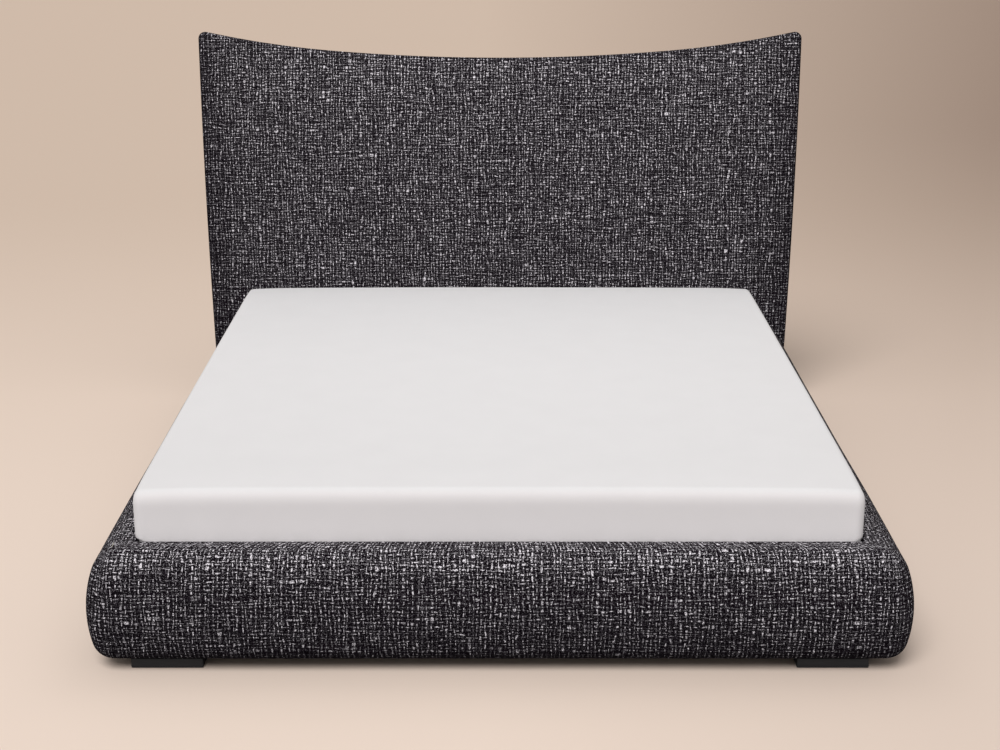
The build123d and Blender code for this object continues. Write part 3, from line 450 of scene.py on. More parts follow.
def yarn_flecks(along, number, seed):
    """How pale one yarn is along its length: short pale slubs, in longer paler and darker runs."""
    flecks = remap(weave, yarn_noise(along, fleck_rate, number, seed), 0.26, 0.70)
    runs = remap(weave, yarn_noise(along, run_rate, number, seed + 9.3), 0.35, 0.65, 0.6, 1.2)
    return product(weave, calculate(weave, "POWER", flecks, 1.3), runs)


def yarn_rise_over(along, number, sign):
    """How high one yarn lies along its length: it goes over and under the yarns that cross it, by
    the cosine of its length in pitches, turned round on every other yarn."""
    waves = [calculate(weave, "COSINE", product(weave, value, pi)) for value in (along, number)]
    return calculate(weave, "MULTIPLY_ADD", product(weave, *waves), sign * yarn_rise, 1 - yarn_rise)


aside = combined(wander((34, 7, 0), 2.7, warp_wander), wander((7, 34, 0), 8.1, weft_wander), 0.0)
swayed = moved(cloth_place, aside)
place = components(weave, swayed)
warp_x = calculate(weave, "DIVIDE", place["X"], given.outputs["Warp pitch"])
weft_y = calculate(weave, "DIVIDE", place["Y"], given.outputs["Weft pitch"])
warp_number = calculate(weave, "ROUND", warp_x)
weft_number = calculate(weave, "ROUND", weft_y)
beside_warp = calculate(weave, "ABSOLUTE", calculate(weave, "SUBTRACT", warp_x, warp_number))
beside_weft = calculate(weave, "ABSOLUTE", calculate(weave, "SUBTRACT", weft_y, weft_number))
warp_rise = yarn_rise_over(weft_y, warp_number, 1)
weft_rise = yarn_rise_over(warp_x, weft_number, -1)

patches = remap(weave, noise(weave, swayed, patch_scale), 0.32, 0.68)
warp_pale = yarn_flecks(weft_y, warp_number, 3.1)
warp_pale = product(weave, warp_pale, remap(weave, patches, 0.0, 1.0, 0.6, 1.8, smooth=False))
weft_pale = yarn_flecks(warp_x, weft_number, 41.7)
weft_pale = product(weave, weft_pale, remap(weave, patches, 0.0, 1.0, 1.25, 0.35, smooth=False))

warp_core = remap(weave, beside_warp, 0.0, half_core, 1.0, 0.0)
weft_core = remap(weave, beside_weft, 0.0, half_core, 1.0, 0.0)
warp_light = product(weave, warp_core, warp_rise, warp_pale)
weft_light = product(weave, weft_core, weft_rise, weft_pale)
light = calculate(weave, "MAXIMUM", warp_light, weft_light)
crossing = product(weave, warp_core, weft_core, calculate(weave, "ADD", warp_pale, weft_pale))
light = calculate(weave, "MULTIPLY_ADD", crossing, crossing_light, light)
fibre = noise(weave, swayed, fibre_scale, 1.0)
fibre_light = remap(weave, fibre, 0.25, 0.75, 0.0, 2.4, smooth=False)
slub_light = remap(weave, noise(weave, cloth_place, slub_scale, 1.0), 0.40, 0.60, 0.0, 3.25)
light = product(weave, light, fibre_light, slub_light)
neps = remap(weave, noise(weave, cloth_place, nep_scale, 1.0), 0.57, 0.72, 0.0, 0.28)
light = calculate(weave, "MULTIPLY_ADD", neps, calculate(weave, "SUBTRACT", 1.0, light), light)
# The pale yarns' share is scaled by the painted light and shade given to the group.
light = product(weave, light, given.outputs["Painted light and shade"])

warp_body = product(weave, remap(weave, beside_warp, flat_top, half_yarn, 1.0, 0.0), warp_rise)
weft_body = product(weave, remap(weave, beside_weft, flat_top, half_yarn, 1.0, 0.0), weft_rise)
height = calculate(weave, "MAXIMUM", warp_body, weft_body)
dark = blend_colours(weave, height, given.outputs["Ground"], given.outputs["Dark yarn"])
cloth = blend_colours(weave, light, dark, given.outputs["Light yarn"])
weave.links.new(cloth, made.inputs["Color"])
weave.links.new(calculate(weave, "MULTIPLY_ADD", fibre, 0.12, height), made.inputs["Height"])


def facing_of(tree):
    """The X, Y and Z of the way the surface faces, at rest."""
    return components(tree, add_node(tree, "ShaderNodeTexCoord").outputs["Normal"])


# Painted light and shade: the pale yarns show most where the cloth faces up, less where it faces back,
# to the front or round to the sides, and least underneath. A piece's own painted shading is then taken off.
painted_front_light = 0.55
painted_back_light = 0.95
painted_upward_light = 0.78
painted_heel_shade = 0.55
painted_level_light = 1.07
painted_under_shade = 0.4
painted_rolled_shade = 0.50
tweed, tree, shader = new_material("charcoal_tweed", {"Roughness": 0.95, "Specular IOR Level": 0.03})
facing = facing_of(tree)
sideways = calculate(tree, "ABSOLUTE", facing["X"])
upward = remap(tree, facing["Z"], 0.10, 0.75)
upward = product(tree, upward, remap(tree, sideways, 0.15, 0.65, 1.0, 0.0))
backward = remap(tree, facing["Y"], 0.0, 0.8, painted_front_light, painted_back_light)
painted_shading = add_node(tree, "ShaderNodeAttribute", attribute_name="painted_shading").outputs["Fac"]
painted_light_and_shade = product(
    tree,
    calculate(tree, "MULTIPLY_ADD", upward, painted_upward_light, backward),
    remap(tree, facing["Z"], -0.45, 0.0, painted_heel_shade, painted_level_light),
    remap(tree, facing["Z"], -1.0, -0.45, painted_under_shade, 1.0, smooth=False),
    remap(tree, sideways, 0.50, 1.0, 1.0, painted_rolled_shade),
    calculate(tree, "SUBTRACT", 1.0, painted_shading),
)
cloth_place = add_node(tree, "ShaderNodeUVMap", uv_map="cloth").outputs["UV"]
inputs = {"Vector": cloth_place, "Painted light and shade": painted_light_and_shade}
woven = add_node(tree, "ShaderNodeGroup", inputs, node_tree=weave)
tree.links.new(woven.outputs["Color"], shader.inputs["Base Color"])
add_bump(tree, shader, woven.outputs["Height"], 0.6, 0.0016)

# Rail covers: the tweed is pulled over the foam, stapled under the sole and turned down
# inside the mattress well. The foot rail's cover wraps round both plan corners and meets the
# side rails' covers in a tight butt seam.
cloth_thickness = 0.002
rail_low, rail_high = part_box("foot_rail_cover")
side_low, side_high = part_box("right_side_cover")
inner_x = side_low.x
inner_y = rail_high.y
rail_thickness = rail_high.x - inner_x
rail_top = rail_high.z
rail_under = rail_low.z
widest_z = 0.148
shoulder_radius = 0.073
side_radius = 0.339
heel_radius = 0.054
inner_edge_radius = 0.008
flange_height = 0.060
under_edge = 0.0023
plan_corner_radius = 0.068
seam_radius = 0.0025
ripple_height = 0.00035


def run(start, end, steps):
    """Evenly spaced points from start to end."""
    return np.linspace(start, end, steps)


def arc(centre_u, centre_z, radius, start, end, steps):
    """Points of an arc: the centre plus radius times the cosine and sine of the angle."""
    angle = run(start, end, steps)
    return np.stack([centre_u + radius * np.cos(angle), centre_z + radius * np.sin(angle)], 1)


def joined(*stretches):
    """Stretches of points, end to end, without their shared ends."""
    return np.concatenate([stretches[0]] + [stretch[1:] for stretch in stretches[1:]])


def lengths(points):
    """The distance along a line of points, from its first."""
    return np.concatenate([[0], np.cumsum(np.linalg.norm(np.diff(points, axis=0), axis=1))])


def normals_of(points):
    """Unit normals of a line of points, to the left of its direction."""
    along = np.gradient(points, axis=0)
    along /= np.linalg.norm(along, axis=1)[:, None]
    return np.stack([-along[:, 1], along[:, 0]], 1)


def rail_profile():
    """The rail's section from the bottom of its inner flange, over the top and round to its
    underside: u is the distance out from the inner face, z the height."""
    shoulder_turn = asin((rail_top - widest_z - shoulder_radius) / (side_radius - shoulder_radius))
    heel_turn = asin((widest_z - rail_under - heel_radius) / (side_radius - heel_radius))
    side_u = rail_thickness - side_radius
    shoulder_u = side_u + (side_radius - shoulder_radius) * cos(shoulder_turn)
    heel_u = side_u + (side_radius - heel_radius) * cos(heel_turn)
    edge_z = rail_top - inner_edge_radius
    return joined(
        run((0, rail_top - flange_height), (0, edge_z), 6),
        arc(inner_edge_radius, edge_z, inner_edge_radius, pi, pi / 2, 7),
        run((inner_edge_radius, rail_top), (shoulder_u, rail_top), 4),
        arc(shoulder_u, rail_top - shoulder_radius, shoulder_radius, pi / 2, shoulder_turn, 24),
        arc(side_u, widest_z, side_radius, shoulder_turn, -heel_turn, 24),
        arc(heel_u, rail_under + heel_radius, heel_radius, -heel_turn, -pi / 2, 18),
        run((heel_u, rail_under), (under_edge, rail_under), 5),
    )


def grid_mesh(name, points, cloth_uv, flip=False, painted_shading=None):
    """A mesh of the rows and columns of points, with cloth_uv as its UV map in metres. The last
    argument, if given, is the painted shading at each point: how much darker the cloth is drawn as painted
    shade, or paler as painted light below nought."""
    rows, columns = points.shape[:2]
    index = np.arange(rows * columns).reshape(rows, columns)
    quads = np.stack([index[:-1, :-1], index[:-1, 1:], index[1:, 1:], index[1:, :-1]], -1).reshape(-1, 4)
    if flip:
        quads = quads[:, ::-1]
    mesh = bpy.data.meshes.new(name)
    mesh.from_pydata(points.reshape(-1, 3), [], quads.tolist())
    if painted_shading is not None:
        painted_shadings = np.ravel(painted_shading + 0 * points[..., 0])
        mesh.attributes.new("painted_shading", "FLOAT", "POINT").data.foreach_set("value", painted_shadings)
    uv_layer = mesh.uv_layers.new(name="cloth")
    uv_layer.uv.foreach_set("vector", cloth_uv.reshape(-1, 2)[quads.ravel()].astype(np.float32).ravel())
    return mesh


def merge_points(mesh, distance=1e-5):
    """Merges coinciding points and drops the faces that this leaves without area."""
    work = bmesh.new()
    work.from_mesh(mesh)
    bmesh.ops.remove_doubles(work, verts=work.verts, dist=distance)
    bmesh.ops.dissolve_degenerate(work, edges=work.edges, dist=distance)
    work.to_mesh(mesh)
    work.free()


def smooth_piece(mesh, material):
    """A smooth piece from a mesh, with the mesh's name and its finish."""
    merge_points(mesh)
    mesh.materials.append(material)
    mesh.shade_smooth()
    piece = bpy.data.objects.new(mesh.name, mesh)
    scene.collection.objects.link(piece)
    return piece


def cloth_piece(mesh, material=tweed, thickness=cloth_thickness):
    """A piece of cloth from a mesh of its outer face, given its thickness inwards."""
    piece = smooth_piece(mesh, material)
    wall = piece.modifiers.new("cloth", "SOLIDIFY")
    wall.thickness = thickness
    wall.offset = -1
    return piece


def ripple(first, second):
    """How far hand-pulled cloth stands proud of its foam: a sum of three slow waves, never
    below nought, in metres."""
    waves = np.sin(5.3 * first + 2.1 * second) + np.sin(9.7 * first - 6.1 * second + 1.3)
    return ripple_height * (3 + waves + np.sin(15.1 * second + 3.9 * first + 0.7))


profile = rail_profile()
profile_u, profile_z = profile.T[..., None]
normal_u, normal_z = normals_of(profile).T[..., None]
profile_length = lengths(profile)[:, None]
turn_u = rail_thickness - plan_corner_radius
corner_x = inner_x + turn_u
corner_y = inner_y - turn_u


def seam_roll(distance):
    """How far cloth is drawn in beside a seam: a quarter round of the seam's radius."""
    inside = np.clip(seam_radius - distance, 0, seam_radius)
    return seam_radius - np.sqrt(seam_radius**2 - inside**2)


def foot_rail_surface():
    """The section carried from one seam, along a stub of side rail, round the plan corner,
    across the bed and back. Outwards of turn_u the corner is a quarter turn about its axis;
    inwards of it the stub and the front meet on a mitre."""
    stub = joined(run(0, seam_radius, 6), run(seam_radius, turn_u, 5))
    turn = run(0, pi / 2, 20)[1:]
    front = run(corner_x, 0, 100)[1:]
    inner = profile_u < turn_u
    drawn = seam_roll(stub)
    along_stub = np.where(inner, stub * profile_u / turn_u, stub)
    stub_u, stub_z = profile_u - drawn * normal_u, profile_z - drawn * normal_z
    stub_points = np.stack([inner_x + stub_u, inner_y - along_stub, stub_z], -1)
    reach = np.where(inner, 0, profile_u - turn_u)
    mitre = np.where(inner, profile_u - turn_u, 0)
    turn_x, turn_y = corner_x + mitre + reach * np.cos(turn), corner_y - mitre - reach * np.sin(turn)
    turn_points = np.stack([turn_x, turn_y, profile_z + 0 * turn], -1)
    front_x = np.where(inner, (inner_x + profile_u) / corner_x, 1) * front
    front_points = np.stack([front_x, inner_y - profile_u + 0 * front, profile_z + 0 * front], -1)
    half = np.concatenate([stub_points, turn_points, front_points], 1)
    turn_path = turn_u + plan_corner_radius * turn
    path = np.concatenate([stub, turn_path, turn_path[-1] + corner_x - front])
    whole_path = np.concatenate([path, 2 * path[-1] - path[-2::-1]])
    points = np.concatenate([half, half[:, -2::-1] * (-1, 1, 1)], 1)
    cloth_uv = np.stack([whole_path + 0 * profile_length, -profile_length + 0 * whole_path], -1)
    swell = ripple(cloth_uv[..., 0], cloth_uv[..., 1]) * np.clip(profile_u / turn_u, 0, 1)
    points[..., 1] -= swell * np.clip(normal_u, 0, 1) * (np.abs(points[..., 0]) < corner_x)
    points[..., 2] += swell * np.clip(normal_z, 0, 1)
    return points, cloth_uv


points, cloth_uv = foot_rail_surface()
foot_cover = cloth_piece(grid_mesh("foot_rail_tweed", points, cloth_uv))
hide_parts("foot_rail_cover")
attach(foot_cover, "frame")

side_length = side_high.y - inner_y
fade_length = 0.15


def side_rail_surface(side):
    """The section carried straight along one side, rolled in at the seam and at the headboard."""
    along = joined(
        run(0, seam_radius, 6),
        run(seam_radius, side_length - seam_radius, 100),
        run(side_length - seam_radius, side_length, 6),
    )
    from_end = np.minimum(along, side_length - along)
    swell = ripple(along + side, profile_length) * np.clip(profile_u / turn_u, 0, 1)
    swell = swell * np.clip(from_end / fade_length, 0, 1) - seam_roll(from_end)
    moved_u, moved_z = profile_u + swell * normal_u, profile_z + swell * normal_z
    points = np.stack([side * (inner_x + moved_u), inner_y + along + 0 * profile_u, moved_z], -1)
    cloth_uv = np.stack([side * along + 0 * profile_u, -profile_length + 0 * along], -1)
    return points, cloth_uv


for side_name, side in (("left", -1), ("right", 1)):
    points, cloth_uv = side_rail_surface(side)
    side_cover = cloth_piece(grid_mesh(side_name + "_rail_tweed", points, cloth_uv, flip=side > 0))
    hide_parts(side_name + "_side_cover")
    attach(side_cover, "frame")

# Headboard cover: one width of tweed pulled over a foam face that stands straight at its foot
# and sweeps back above it, rolled round the flared sides and the dipped top edge and stapled
# to the back of the frame. The back is closed by a tweed-covered panel.
face_y = side_high.y
sweep_radius = 5.9
sweep_start_z = 0.250
top_corner_z = 1.350
top_width = 2.129
base_width = 2.080
dip_radius = 7.2
dip_half_span = 0.600
wing_radius = 3.45
face_edge_radius = 0.015
back_edge_radius = 0.008
board_thickness = 0.094
board_corner_radius = 0.024
corner_power = 12
slope_step = 1e-4
mirror_x = np.array([-1.0, 1.0, -1.0, 1.0])
least_radius = 0.001
# Painted shade and light on the headboard cloth: its rim and the face's sides and top edge are drawn
# darker, the face paler, more so up the sweep.
rim_reach = 0.010
painted_rim_shade = 0.65
painted_side_shade = 0.56
painted_side_shade_width = 0.200
painted_top_shade = 0.28
painted_top_shade_width = 0.070
painted_face_light = 1.13
painted_sweep_light = 0.42
lift_power = 1.5
face_crown = 0.007
crown_margin = 0.200
sweep_angle = asin((top_corner_z - sweep_start_z) / sweep_radius)
corner_lean = sweep_radius * (1 - cos(sweep_angle))
drop = corner_lean * sin(sweep_angle) + (top_corner_z - rail_under) * cos(sweep_angle)
dip_turn = asin(dip_half_span / dip_radius)
wing_turn = asin(sin(dip_turn) + (top_width / 2 - dip_half_span) / wing_radius)
dip_depth = dip_radius * (1 - cos(dip_turn)) + wing_radius * (cos(dip_turn) - cos(wing_turn))


def on_board(places, depth):
    """Points of the headboard from places across it and up its face along the sweep, at a depth
    behind the face, square to it. Below the sweep the face is upright."""
    across, up = places[..., 0], places[..., 1]
    turn = np.clip(up - sweep_start_z, 0, None) / sweep_radius
    below = np.minimum(up, sweep_start_z)
    y = face_y + sweep_radius - (sweep_radius - depth) * np.cos(turn)
    z = below + (sweep_radius - depth) * np.sin(turn)
    return np.stack([across + 0 * z, y, z], -1)


def top_edge(across):
    """The height up the face of the dipped top edge: a wide middle arc between two tighter
    wing arcs, drawn on the plane that touches the face at its top corners."""
    reach = np.abs(across)
    middle_y = dip_radius - dip_depth
    wing_x = (dip_radius - wing_radius) * sin(dip_turn)
    wing_y = middle_y - (dip_radius - wing_radius) * cos(dip_turn)
    middle = middle_y - np.sqrt(dip_radius**2 - np.minimum(reach, dip_half_span) ** 2)
    wing = wing_y - np.sqrt(wing_radius**2 - (np.maximum(reach, dip_half_span) - wing_x) ** 2)
    plane_height = np.where(reach < dip_half_span, middle, wing)
    return sweep_start_z + sweep_radius * (sweep_angle + np.arcsin(plane_height / sweep_radius))


def unit(vector):
    """A vector of length one."""
    return vector / np.linalg.norm(vector, axis=-1, keepdims=True)


def arc_centre(corner, before, after, radius):
    """The centre of the arc that touches two edges near their corner, from their normals."""
    return corner - radius * (before + after) / (1 + before @ after)


def with_normals(centres, normals):
    """An edge as rows of four numbers: its centres and, beside them, its outward normals."""
    return np.hstack(np.broadcast_arrays(centres, normals))


def tight_corner(corner, before, after, radius, steps):
    """As rounded_corner, but a superellipse, which stays close to the square corner: the two
    normals are added in shares of the cosine and the sine to the power of 2 / corner_power."""
    angle = run(0, pi / 2, steps)[:, None]
    shares = (np.cos(angle) ** (2 / corner_power), np.sin(angle) ** (2 / corner_power))
    return with_normals(arc_centre(corner, before, after, radius), shares[0] * before + shares[1] * after)


def rounded_corner(corner, before, after, radius, steps):
    """A rounded corner between two edges, from their normals: all its centres are the arc's."""
    start = np.arctan2(before[1], before[0])
    end = start - (start - np.arctan2(after[1], after[0])) % (2 * pi)
    angle = run(start, end, steps)
    normals = np.stack([np.cos(angle), np.sin(angle)], 1)
    return with_normals(arc_centre(corner, before, after, radius), normals)


def edge_between(first, middle, last):
    """An edge from the middle of one corner, along its own points, to the middle of the next."""
    half = len(first) // 2
    return np.concatenate([first[half:], middle, last[: half + 1]])


def top_slope(across):
    """The slope of the dipped top edge, from two of its points a little apart."""
    return (top_edge(across + slope_step) - top_edge(across - slope_step)) / (2 * slope_step)


def board_rim(half_arc=6, side_steps=64, top_steps=106):
    """The board's outline, so that an inset e is at centre plus (board_corner_radius - e) times
    normal. It comes as left side, top, right side and bottom, each from corner middle to corner
    middle, clockwise."""
    radius = board_corner_radius
    top_left = np.array([-top_width / 2, float(top_edge(np.array(top_width / 2)))])
    base_left = np.array([-base_width / 2, rail_under])
    up_side = unit(top_left - base_left)
    side_normal = np.array([-up_side[1], up_side[0]])
    inwards = np.array(-top_width / 2 + slope_step)
    slope = float(top_edge(inwards) - top_left[1]) / slope_step
    top_normal = unit(np.array([-slope, 1.0]))
    down = np.array([0.0, -1.0])
    top_corner = rounded_corner(top_left, side_normal, top_normal, radius, 2 * half_arc + 1)
    base_corner = tight_corner(base_left, down, side_normal, radius, 2 * half_arc + 1)
    start, end = base_corner[0, :2], top_corner[0, :2]
    rise = run(0, 1, side_steps)[1:-1, None]
    left = edge_between(base_corner, with_normals(start + (end - start) * rise, side_normal), top_corner)
    tangent_x = top_corner[0, 0] + radius * top_normal[0]
    across = run(tangent_x, -tangent_x, top_steps)[1:-1]
    normals = unit(np.stack([-top_slope(across), np.ones_like(across)], 1))
    centres = np.stack([across, top_edge(across)], 1) - radius * normals
    top = edge_between(top_corner, with_normals(centres, normals), top_corner[::-1] * mirror_x)
    across = run(-start[0], start[0], top_steps)[1:-1]
    centres = np.stack([across, across * 0 + start[1]], 1)
    bottom = edge_between(base_corner[::-1] * mirror_x, with_normals(centres, down), base_corner)
    return left, top, left[::-1] * mirror_x, bottom


def filled_patch(left, top, right, bottom):
    """A grid between four edges: each point is blended from the two edges across it and the
    two up it, less the corners that both count. Rows run up, columns from left to right."""
    low, high = bottom[::-1], top
    start, end = left, right[::-1]
    s = (lengths(high) / lengths(high)[-1])[None, :, None]
    t = (lengths(start) / lengths(start)[-1])[:, None, None]
    ruled = (1 - t) * low[None] + t * high[None] + (1 - s) * start[:, None] + s * end[:, None]
    corners = (1 - t) * ((1 - s) * low[0] + s * low[-1]) + t * ((1 - s) * high[0] + s * high[-1])
    return ruled - corners


def from_edges(places):
    """How far places lie inside the board's side and top edges."""
    half = base_width / 2 + (top_width - base_width) / 2 * (places[..., 1] - rail_under) / drop
    edge = top_edge(np.clip(places[..., 0], -top_width / 2, top_width / 2))
    return half - np.abs(places[..., 0]), edge - places[..., 1]


def board_crown(places):
    """How far foam under pulled cloth stands proud of the face: in full at the middle, with a
    ripple, and falling by squares to nought at the sides and the top."""
    from_side, from_top = from_edges(places)
    side_share = np.clip((from_side - face_edge_radius) / crown_margin, 0, 1)
    top_share = np.clip((from_top - face_edge_radius) / crown_margin, 0, 1)
    share = (1 - (1 - side_share) ** 2) * (1 - (1 - top_share) ** 2)
    return share * (face_crown + ripple(places[..., 0], places[..., 1]))


def painted_face_shading(places):
    """Painted shading over the face: painted shade, darker towards its sides and its top edge by
    squares of the distance, and painted light, paler over the whole face and more so up the sweep, where
    the face turns to the light."""
    from_side, from_top = from_edges(places)
    side_share = np.clip(from_side / painted_side_shade_width, 0, 1)
    top_share = np.clip(from_top / painted_top_shade_width, 0, 1)
    rise = np.clip((places[..., 1] - sweep_start_z) / (top_corner_z - sweep_start_z), 0, 1)
    darker = np.maximum(painted_side_shade * (1 - side_share) ** 2, painted_top_shade * (1 - top_share) ** 2)
    return 1 - (1 - darker) * (painted_face_light + painted_sweep_light * rise**lift_power)


def closed_rim(rim):
    """The four sides of an outline as one closed ring."""
    return np.concatenate([side[:-1] for side in rim] + [rim[0][:1]])


def outset(edge, distance):
    """An edge's points: its centres moved out along its normals."""
    return edge[..., :2] + distance * edge[..., 2:]


def merge_meshes(first, *others):
    """The first mesh with the others added to it."""
    work = bmesh.new()
    for mesh in (first, *others):
        work.from_mesh(mesh)
    work.to_mesh(first)
    work.free()
    for mesh in others:
        bpy.data.meshes.remove(mesh)
    return first


def board_cloth(name, section, crown, flip):
    """A closed-edge cloth over one side of the board. The rim's section is a line of (inset,
    depth) from the face outwards; the face inside it is a filled patch at the first depth."""
    face = filled_patch(*[outset(side, board_corner_radius - section[0, 0]) for side in board_edge])
    depth = section[0, 1] - crown * board_crown(face)
    face_mesh = grid_mesh(name, on_board(face, depth), face, flip, crown * painted_face_shading(face))
    ring = closed_rim(board_edge)
    places = outset(ring, board_corner_radius - section[:, 0][:, None, None])
    start = places[:1]
    rim_depth = section[:, 1][:, None] + 0 * start[..., 0]
    reach = lengths(section)[:, None, None]
    # Painted shade: the rim is drawn darker over its first rim_reach from the face.
    darker = painted_rim_shade * np.clip(reach[..., 0] / rim_reach, 0, 1)
    rim_mesh = grid_mesh(
        name + "_rim",
        on_board(places, rim_depth),
        start + reach * ring[:, 2:],
        flip,
        np.maximum(crown * painted_face_shading(start), darker),
    )
    return merge_meshes(face_mesh, rim_mesh)


board_edge = board_rim()
cover_section = joined(
    arc(face_edge_radius, face_edge_radius, face_edge_radius, -pi / 2, -pi, 9),
    run((0, face_edge_radius), (0, board_thickness - back_edge_radius), 8),
    arc(back_edge_radius, board_thickness - back_edge_radius, back_edge_radius, pi, pi / 2, 6),
    run((back_edge_radius, board_thickness), (board_corner_radius - least_radius, board_thickness), 3),
)
head_cover = cloth_piece(board_cloth("headboard_tweed", cover_section, 1.0, False))
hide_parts("headboard_cover")
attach(head_cover, "frame")

panel_margin = 0.018
panel_edge_radius = 0.004
panel_back = 0.1006
panel_front = 0.0943
panel_section = joined(
    arc(panel_margin + panel_edge_radius, panel_back - panel_edge_radius, panel_edge_radius, pi / 2, pi, 6),
    run((panel_margin, panel_back - panel_edge_radius), (panel_margin, panel_front), 3),
)
back_cover = cloth_piece(board_cloth("headboard_back_tweed", panel_section, 0.0, True))
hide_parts("headboard_back_cover")
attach(back_cover, "frame")

# Mattress: a fitted cover of fine pale knit over a foam core. Its top is crowned, its upper
# edge rolls over softly, its sides draw in a little between the corners, and above the rails
# they swell out over them.
mattress_low, mattress_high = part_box("mattress_cover")
half_width = (mattress_high.x - mattress_low.x) / 2
half_length = (mattress_high.y - mattress_low.y) / 2
mattress_y = (mattress_high.y + mattress_low.y) / 2
side_draw = 0.001
bulge_left = 0.009
bulge_right = 0.004
bulge_from_z = 0.3062
bulge_rise = 0.011
corner_radius = 0.024
roll_width = 0.022
roll_height = 0.042
roll_power = 2.4
cover_foot_radius = 0.016
knit_thickness = 0.003
top_margin = 0.16
top_fall = 0.0045
crown_radius = 120.0
top_ripple = 0.6
ripple_rate = 0.7


def mattress_rim(side_steps=80, end_steps=72, half_arc=8):
    """The plan outline's four sides from corner middle to corner middle: a rounded rectangle
    whose sides bow in by side_draw."""
    centre = np.array([half_width - corner_radius, half_length - corner_radius])
    angle = run(0, pi / 2, 2 * half_arc + 1)
    corner = with_normals(centre, np.stack([np.cos(angle), np.sin(angle)], 1))
    along = run(-1, 1, side_steps)[1:-1]
    side = np.stack([centre[0] - side_draw * (1 - along**2), along * centre[1]], 1)
    across = run(1, -1, end_steps)[1:-1]
    end = np.stack([across * centre[0], centre[1] - side_draw * (1 - across**2)], 1)
    right = edge_between(corner[::-1] * -mirror_x, with_normals(side, (1.0, 0.0)), corner)
    rear = edge_between(corner, with_normals(end, (0.0, 1.0)), corner[::-1] * mirror_x)
    return right, rear, -right, -rear


def mattress_top(places):
    """The height of the crowned top: a very large ball, falling a little more near the edges."""
    inset_x = np.clip((half_width - np.abs(places[..., 0])) / top_margin, 0, 1)
    inset_y = np.clip((half_length - np.abs(places[..., 1])) / top_margin, 0, 1)
    ball = (places**2).sum(-1) / (2 * crown_radius)
    edge = top_fall * ((1 - inset_x) ** 2 + (1 - inset_y) ** 2)
    soft = top_ripple * ripple(ripple_rate * places[..., 0], ripple_rate * places[..., 1])
    return mattress_high.z - ball - edge + soft


def bulged(at, heights):
    """Places pushed out sideways above the rails' tops, in proportion to their distance from
    the middle; the push eases in over bulge_rise."""
    rise = np.clip((heights - bulge_from_z) / bulge_rise, 0, 1)
    share = rise**2 * (3 - 2 * rise) / half_width
    stretch = np.where(at[..., 0] < 0, bulge_left, bulge_right) * share
    return at * np.stack([1 + stretch, 1 + 0 * stretch], -1)


def mattress_layer(name, inset, low_z, foot_radius, wall_stops=()):
    """A closed form that lies inset inside the mattress's outer face, down to low_z. Its rim's
    section is a superellipse roll at the top, an upright wall with eight rows to each of its
    stops, and a round foot, with heights taken down from the crowned top. Top and bottom are
    filled patches."""
    rim = mattress_rim()
    ring = closed_rim(rim)
    radius = corner_radius - inset
    width, height = roll_width - inset, roll_height - inset
    angle = run(0, pi / 2, 16)[:, None]
    power = 2 / roll_power
    roll_at = outset(ring, (radius - width * (1 - np.sin(angle) ** power))[..., None])
    roll_z = mattress_top(roll_at) - inset - height * (1 - np.cos(angle) ** power)
    foot_z = low_z + foot_radius
    share = run(0, 1, 9)[1:, None]
    stops = [roll_z[-1:]] + [stop + 0 * roll_z[-1:] for stop in (*wall_stops, foot_z)]
    wall_z = np.concatenate([above + (below - above) * share for above, below in zip(stops, stops[1:])])
    wall_at = outset(ring, radius + 0 * wall_z[..., None])
    turned = run(0, pi / 2, 8)[1:, None]
    foot_at = outset(ring, (radius - foot_radius * (1 - np.cos(turned)))[..., None])
    foot_heights = foot_z - foot_radius * np.sin(turned) + 0 * roll_z[:1]
    at = np.concatenate([roll_at, wall_at, foot_at])
    heights = np.concatenate([roll_z, wall_z, foot_heights])
    wall = np.concatenate([bulged(at, heights), heights[..., None]], -1)
    reach = lengths(wall[:, 0])[:, None, None]
    wall_uv = roll_at[:1] + reach * ring[:, 2:]
    top = filled_patch(*[outset(side, radius - width) for side in rim])
    top_z = mattress_top(top) - inset
    top_points = np.concatenate([bulged(top, top_z), top_z[..., None]], -1)
    bottom = filled_patch(*[outset(side, radius - foot_radius) for side in rim])
    bottom_points = np.concatenate([bottom, np.full(bottom.shape[:2] + (1,), low_z)], -1)
    place = (0, mattress_y, 0)
    return merge_meshes(
        grid_mesh(name, wall + place, wall_uv, True),
        grid_mesh("top", top_points + place, top, True),
        grid_mesh("bottom", bottom_points + place, bottom),
    )


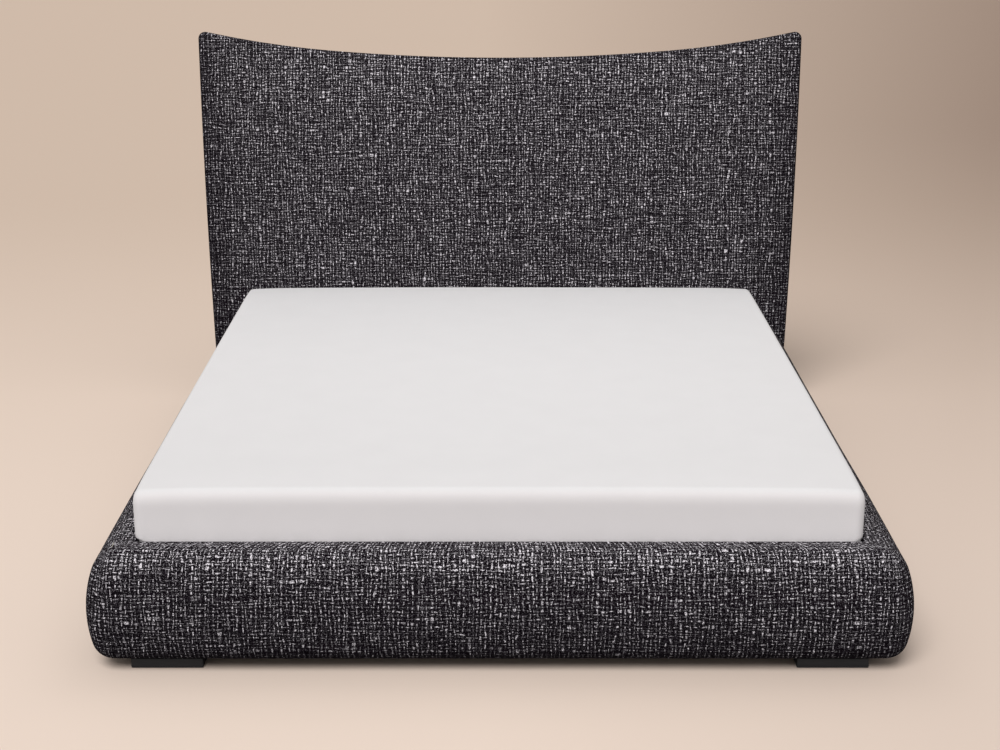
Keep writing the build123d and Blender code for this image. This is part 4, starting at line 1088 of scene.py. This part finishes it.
stitch_pitch = 0.0016
darker_knit = (0.808, 0.774, 0.781, 1)
paler_knit = (0.848, 0.814, 0.821, 1)
knit_top_shade_tint = (0.872, 0.894, 0.893, 1)
low_wall_painted_light = (1.07, 1.07, 1.07, 1)
low_wall_light_z = (0.325, 0.405)
knit, tree, shader = new_material(
    "pale_knit",
    {"Roughness": 0.72, "Specular IOR Level": 0.3, "Sheen Weight": 0.08, "Sheen Roughness": 0.4},
)
cloth_place = add_node(tree, "ShaderNodeUVMap", uv_map="cloth").outputs["UV"]
place = components(tree, cloth_place)
waves = [calculate(tree, "SINE", product(tree, place[axis], 2 * pi / stitch_pitch)) for axis in "XY"]
stitches = product(tree, *waves)
mottle = noise(tree, cloth_place, 9.0, 3.0)
tone = calculate(tree, "MULTIPLY_ADD", mottle, 0.5, noise(tree, cloth_place, 700.0))
tone = calculate(tree, "MULTIPLY_ADD", stitches, 0.12, tone)
knitted = blend_colours(tree, remap(tree, tone, 0.35, 1.15), darker_knit, paler_knit)
# Painted shade: the knit on top, where the light falls more strongly, is drawn a little darker and less red
# than on the walls.
knit_top_shade_share = remap(tree, facing_of(tree)["Z"], 0.3, 0.9)
knitted = blend_colours(tree, knit_top_shade_share, knitted, knit_top_shade_tint, "MULTIPLY")
# Painted light: the knit's lower wall is drawn up to seven in a hundred paler towards the rails, in place
# of light bouncing up onto it.
low_wall_light_share = remap(tree, components(tree, object_place(tree))["Z"], *low_wall_light_z, 1.0, 0.0)
knitted = blend_colours(tree, low_wall_light_share, knitted, low_wall_painted_light, "MULTIPLY")
tree.links.new(knitted, shader.inputs["Base Color"])
add_bump(tree, shader, stitches, 0.25, 0.0003)

bulge_stops = (bulge_from_z + bulge_rise, bulge_from_z)
knit_cover = mattress_layer("mattress_knit", 0, mattress_low.z, cover_foot_radius, bulge_stops)
mattress = cloth_piece(knit_cover, knit, knit_thickness)
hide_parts("mattress_cover")
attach(mattress, "mattress")

# Mattress top layer: a slab of softer foam laid on the core, under the knit, with the same
# crown and rolled edge.
slab_low, slab_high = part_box("mattress_comfort_layer")
slab_inset = half_width - slab_high.x
slab_foot_radius = 0.001
slab_mesh = mattress_layer("mattress_top_foam", slab_inset, slab_low.z, slab_foot_radius)
slab = smooth_piece(slab_mesh, foam)
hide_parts("mattress_comfort_layer")
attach(slab, "mattress")
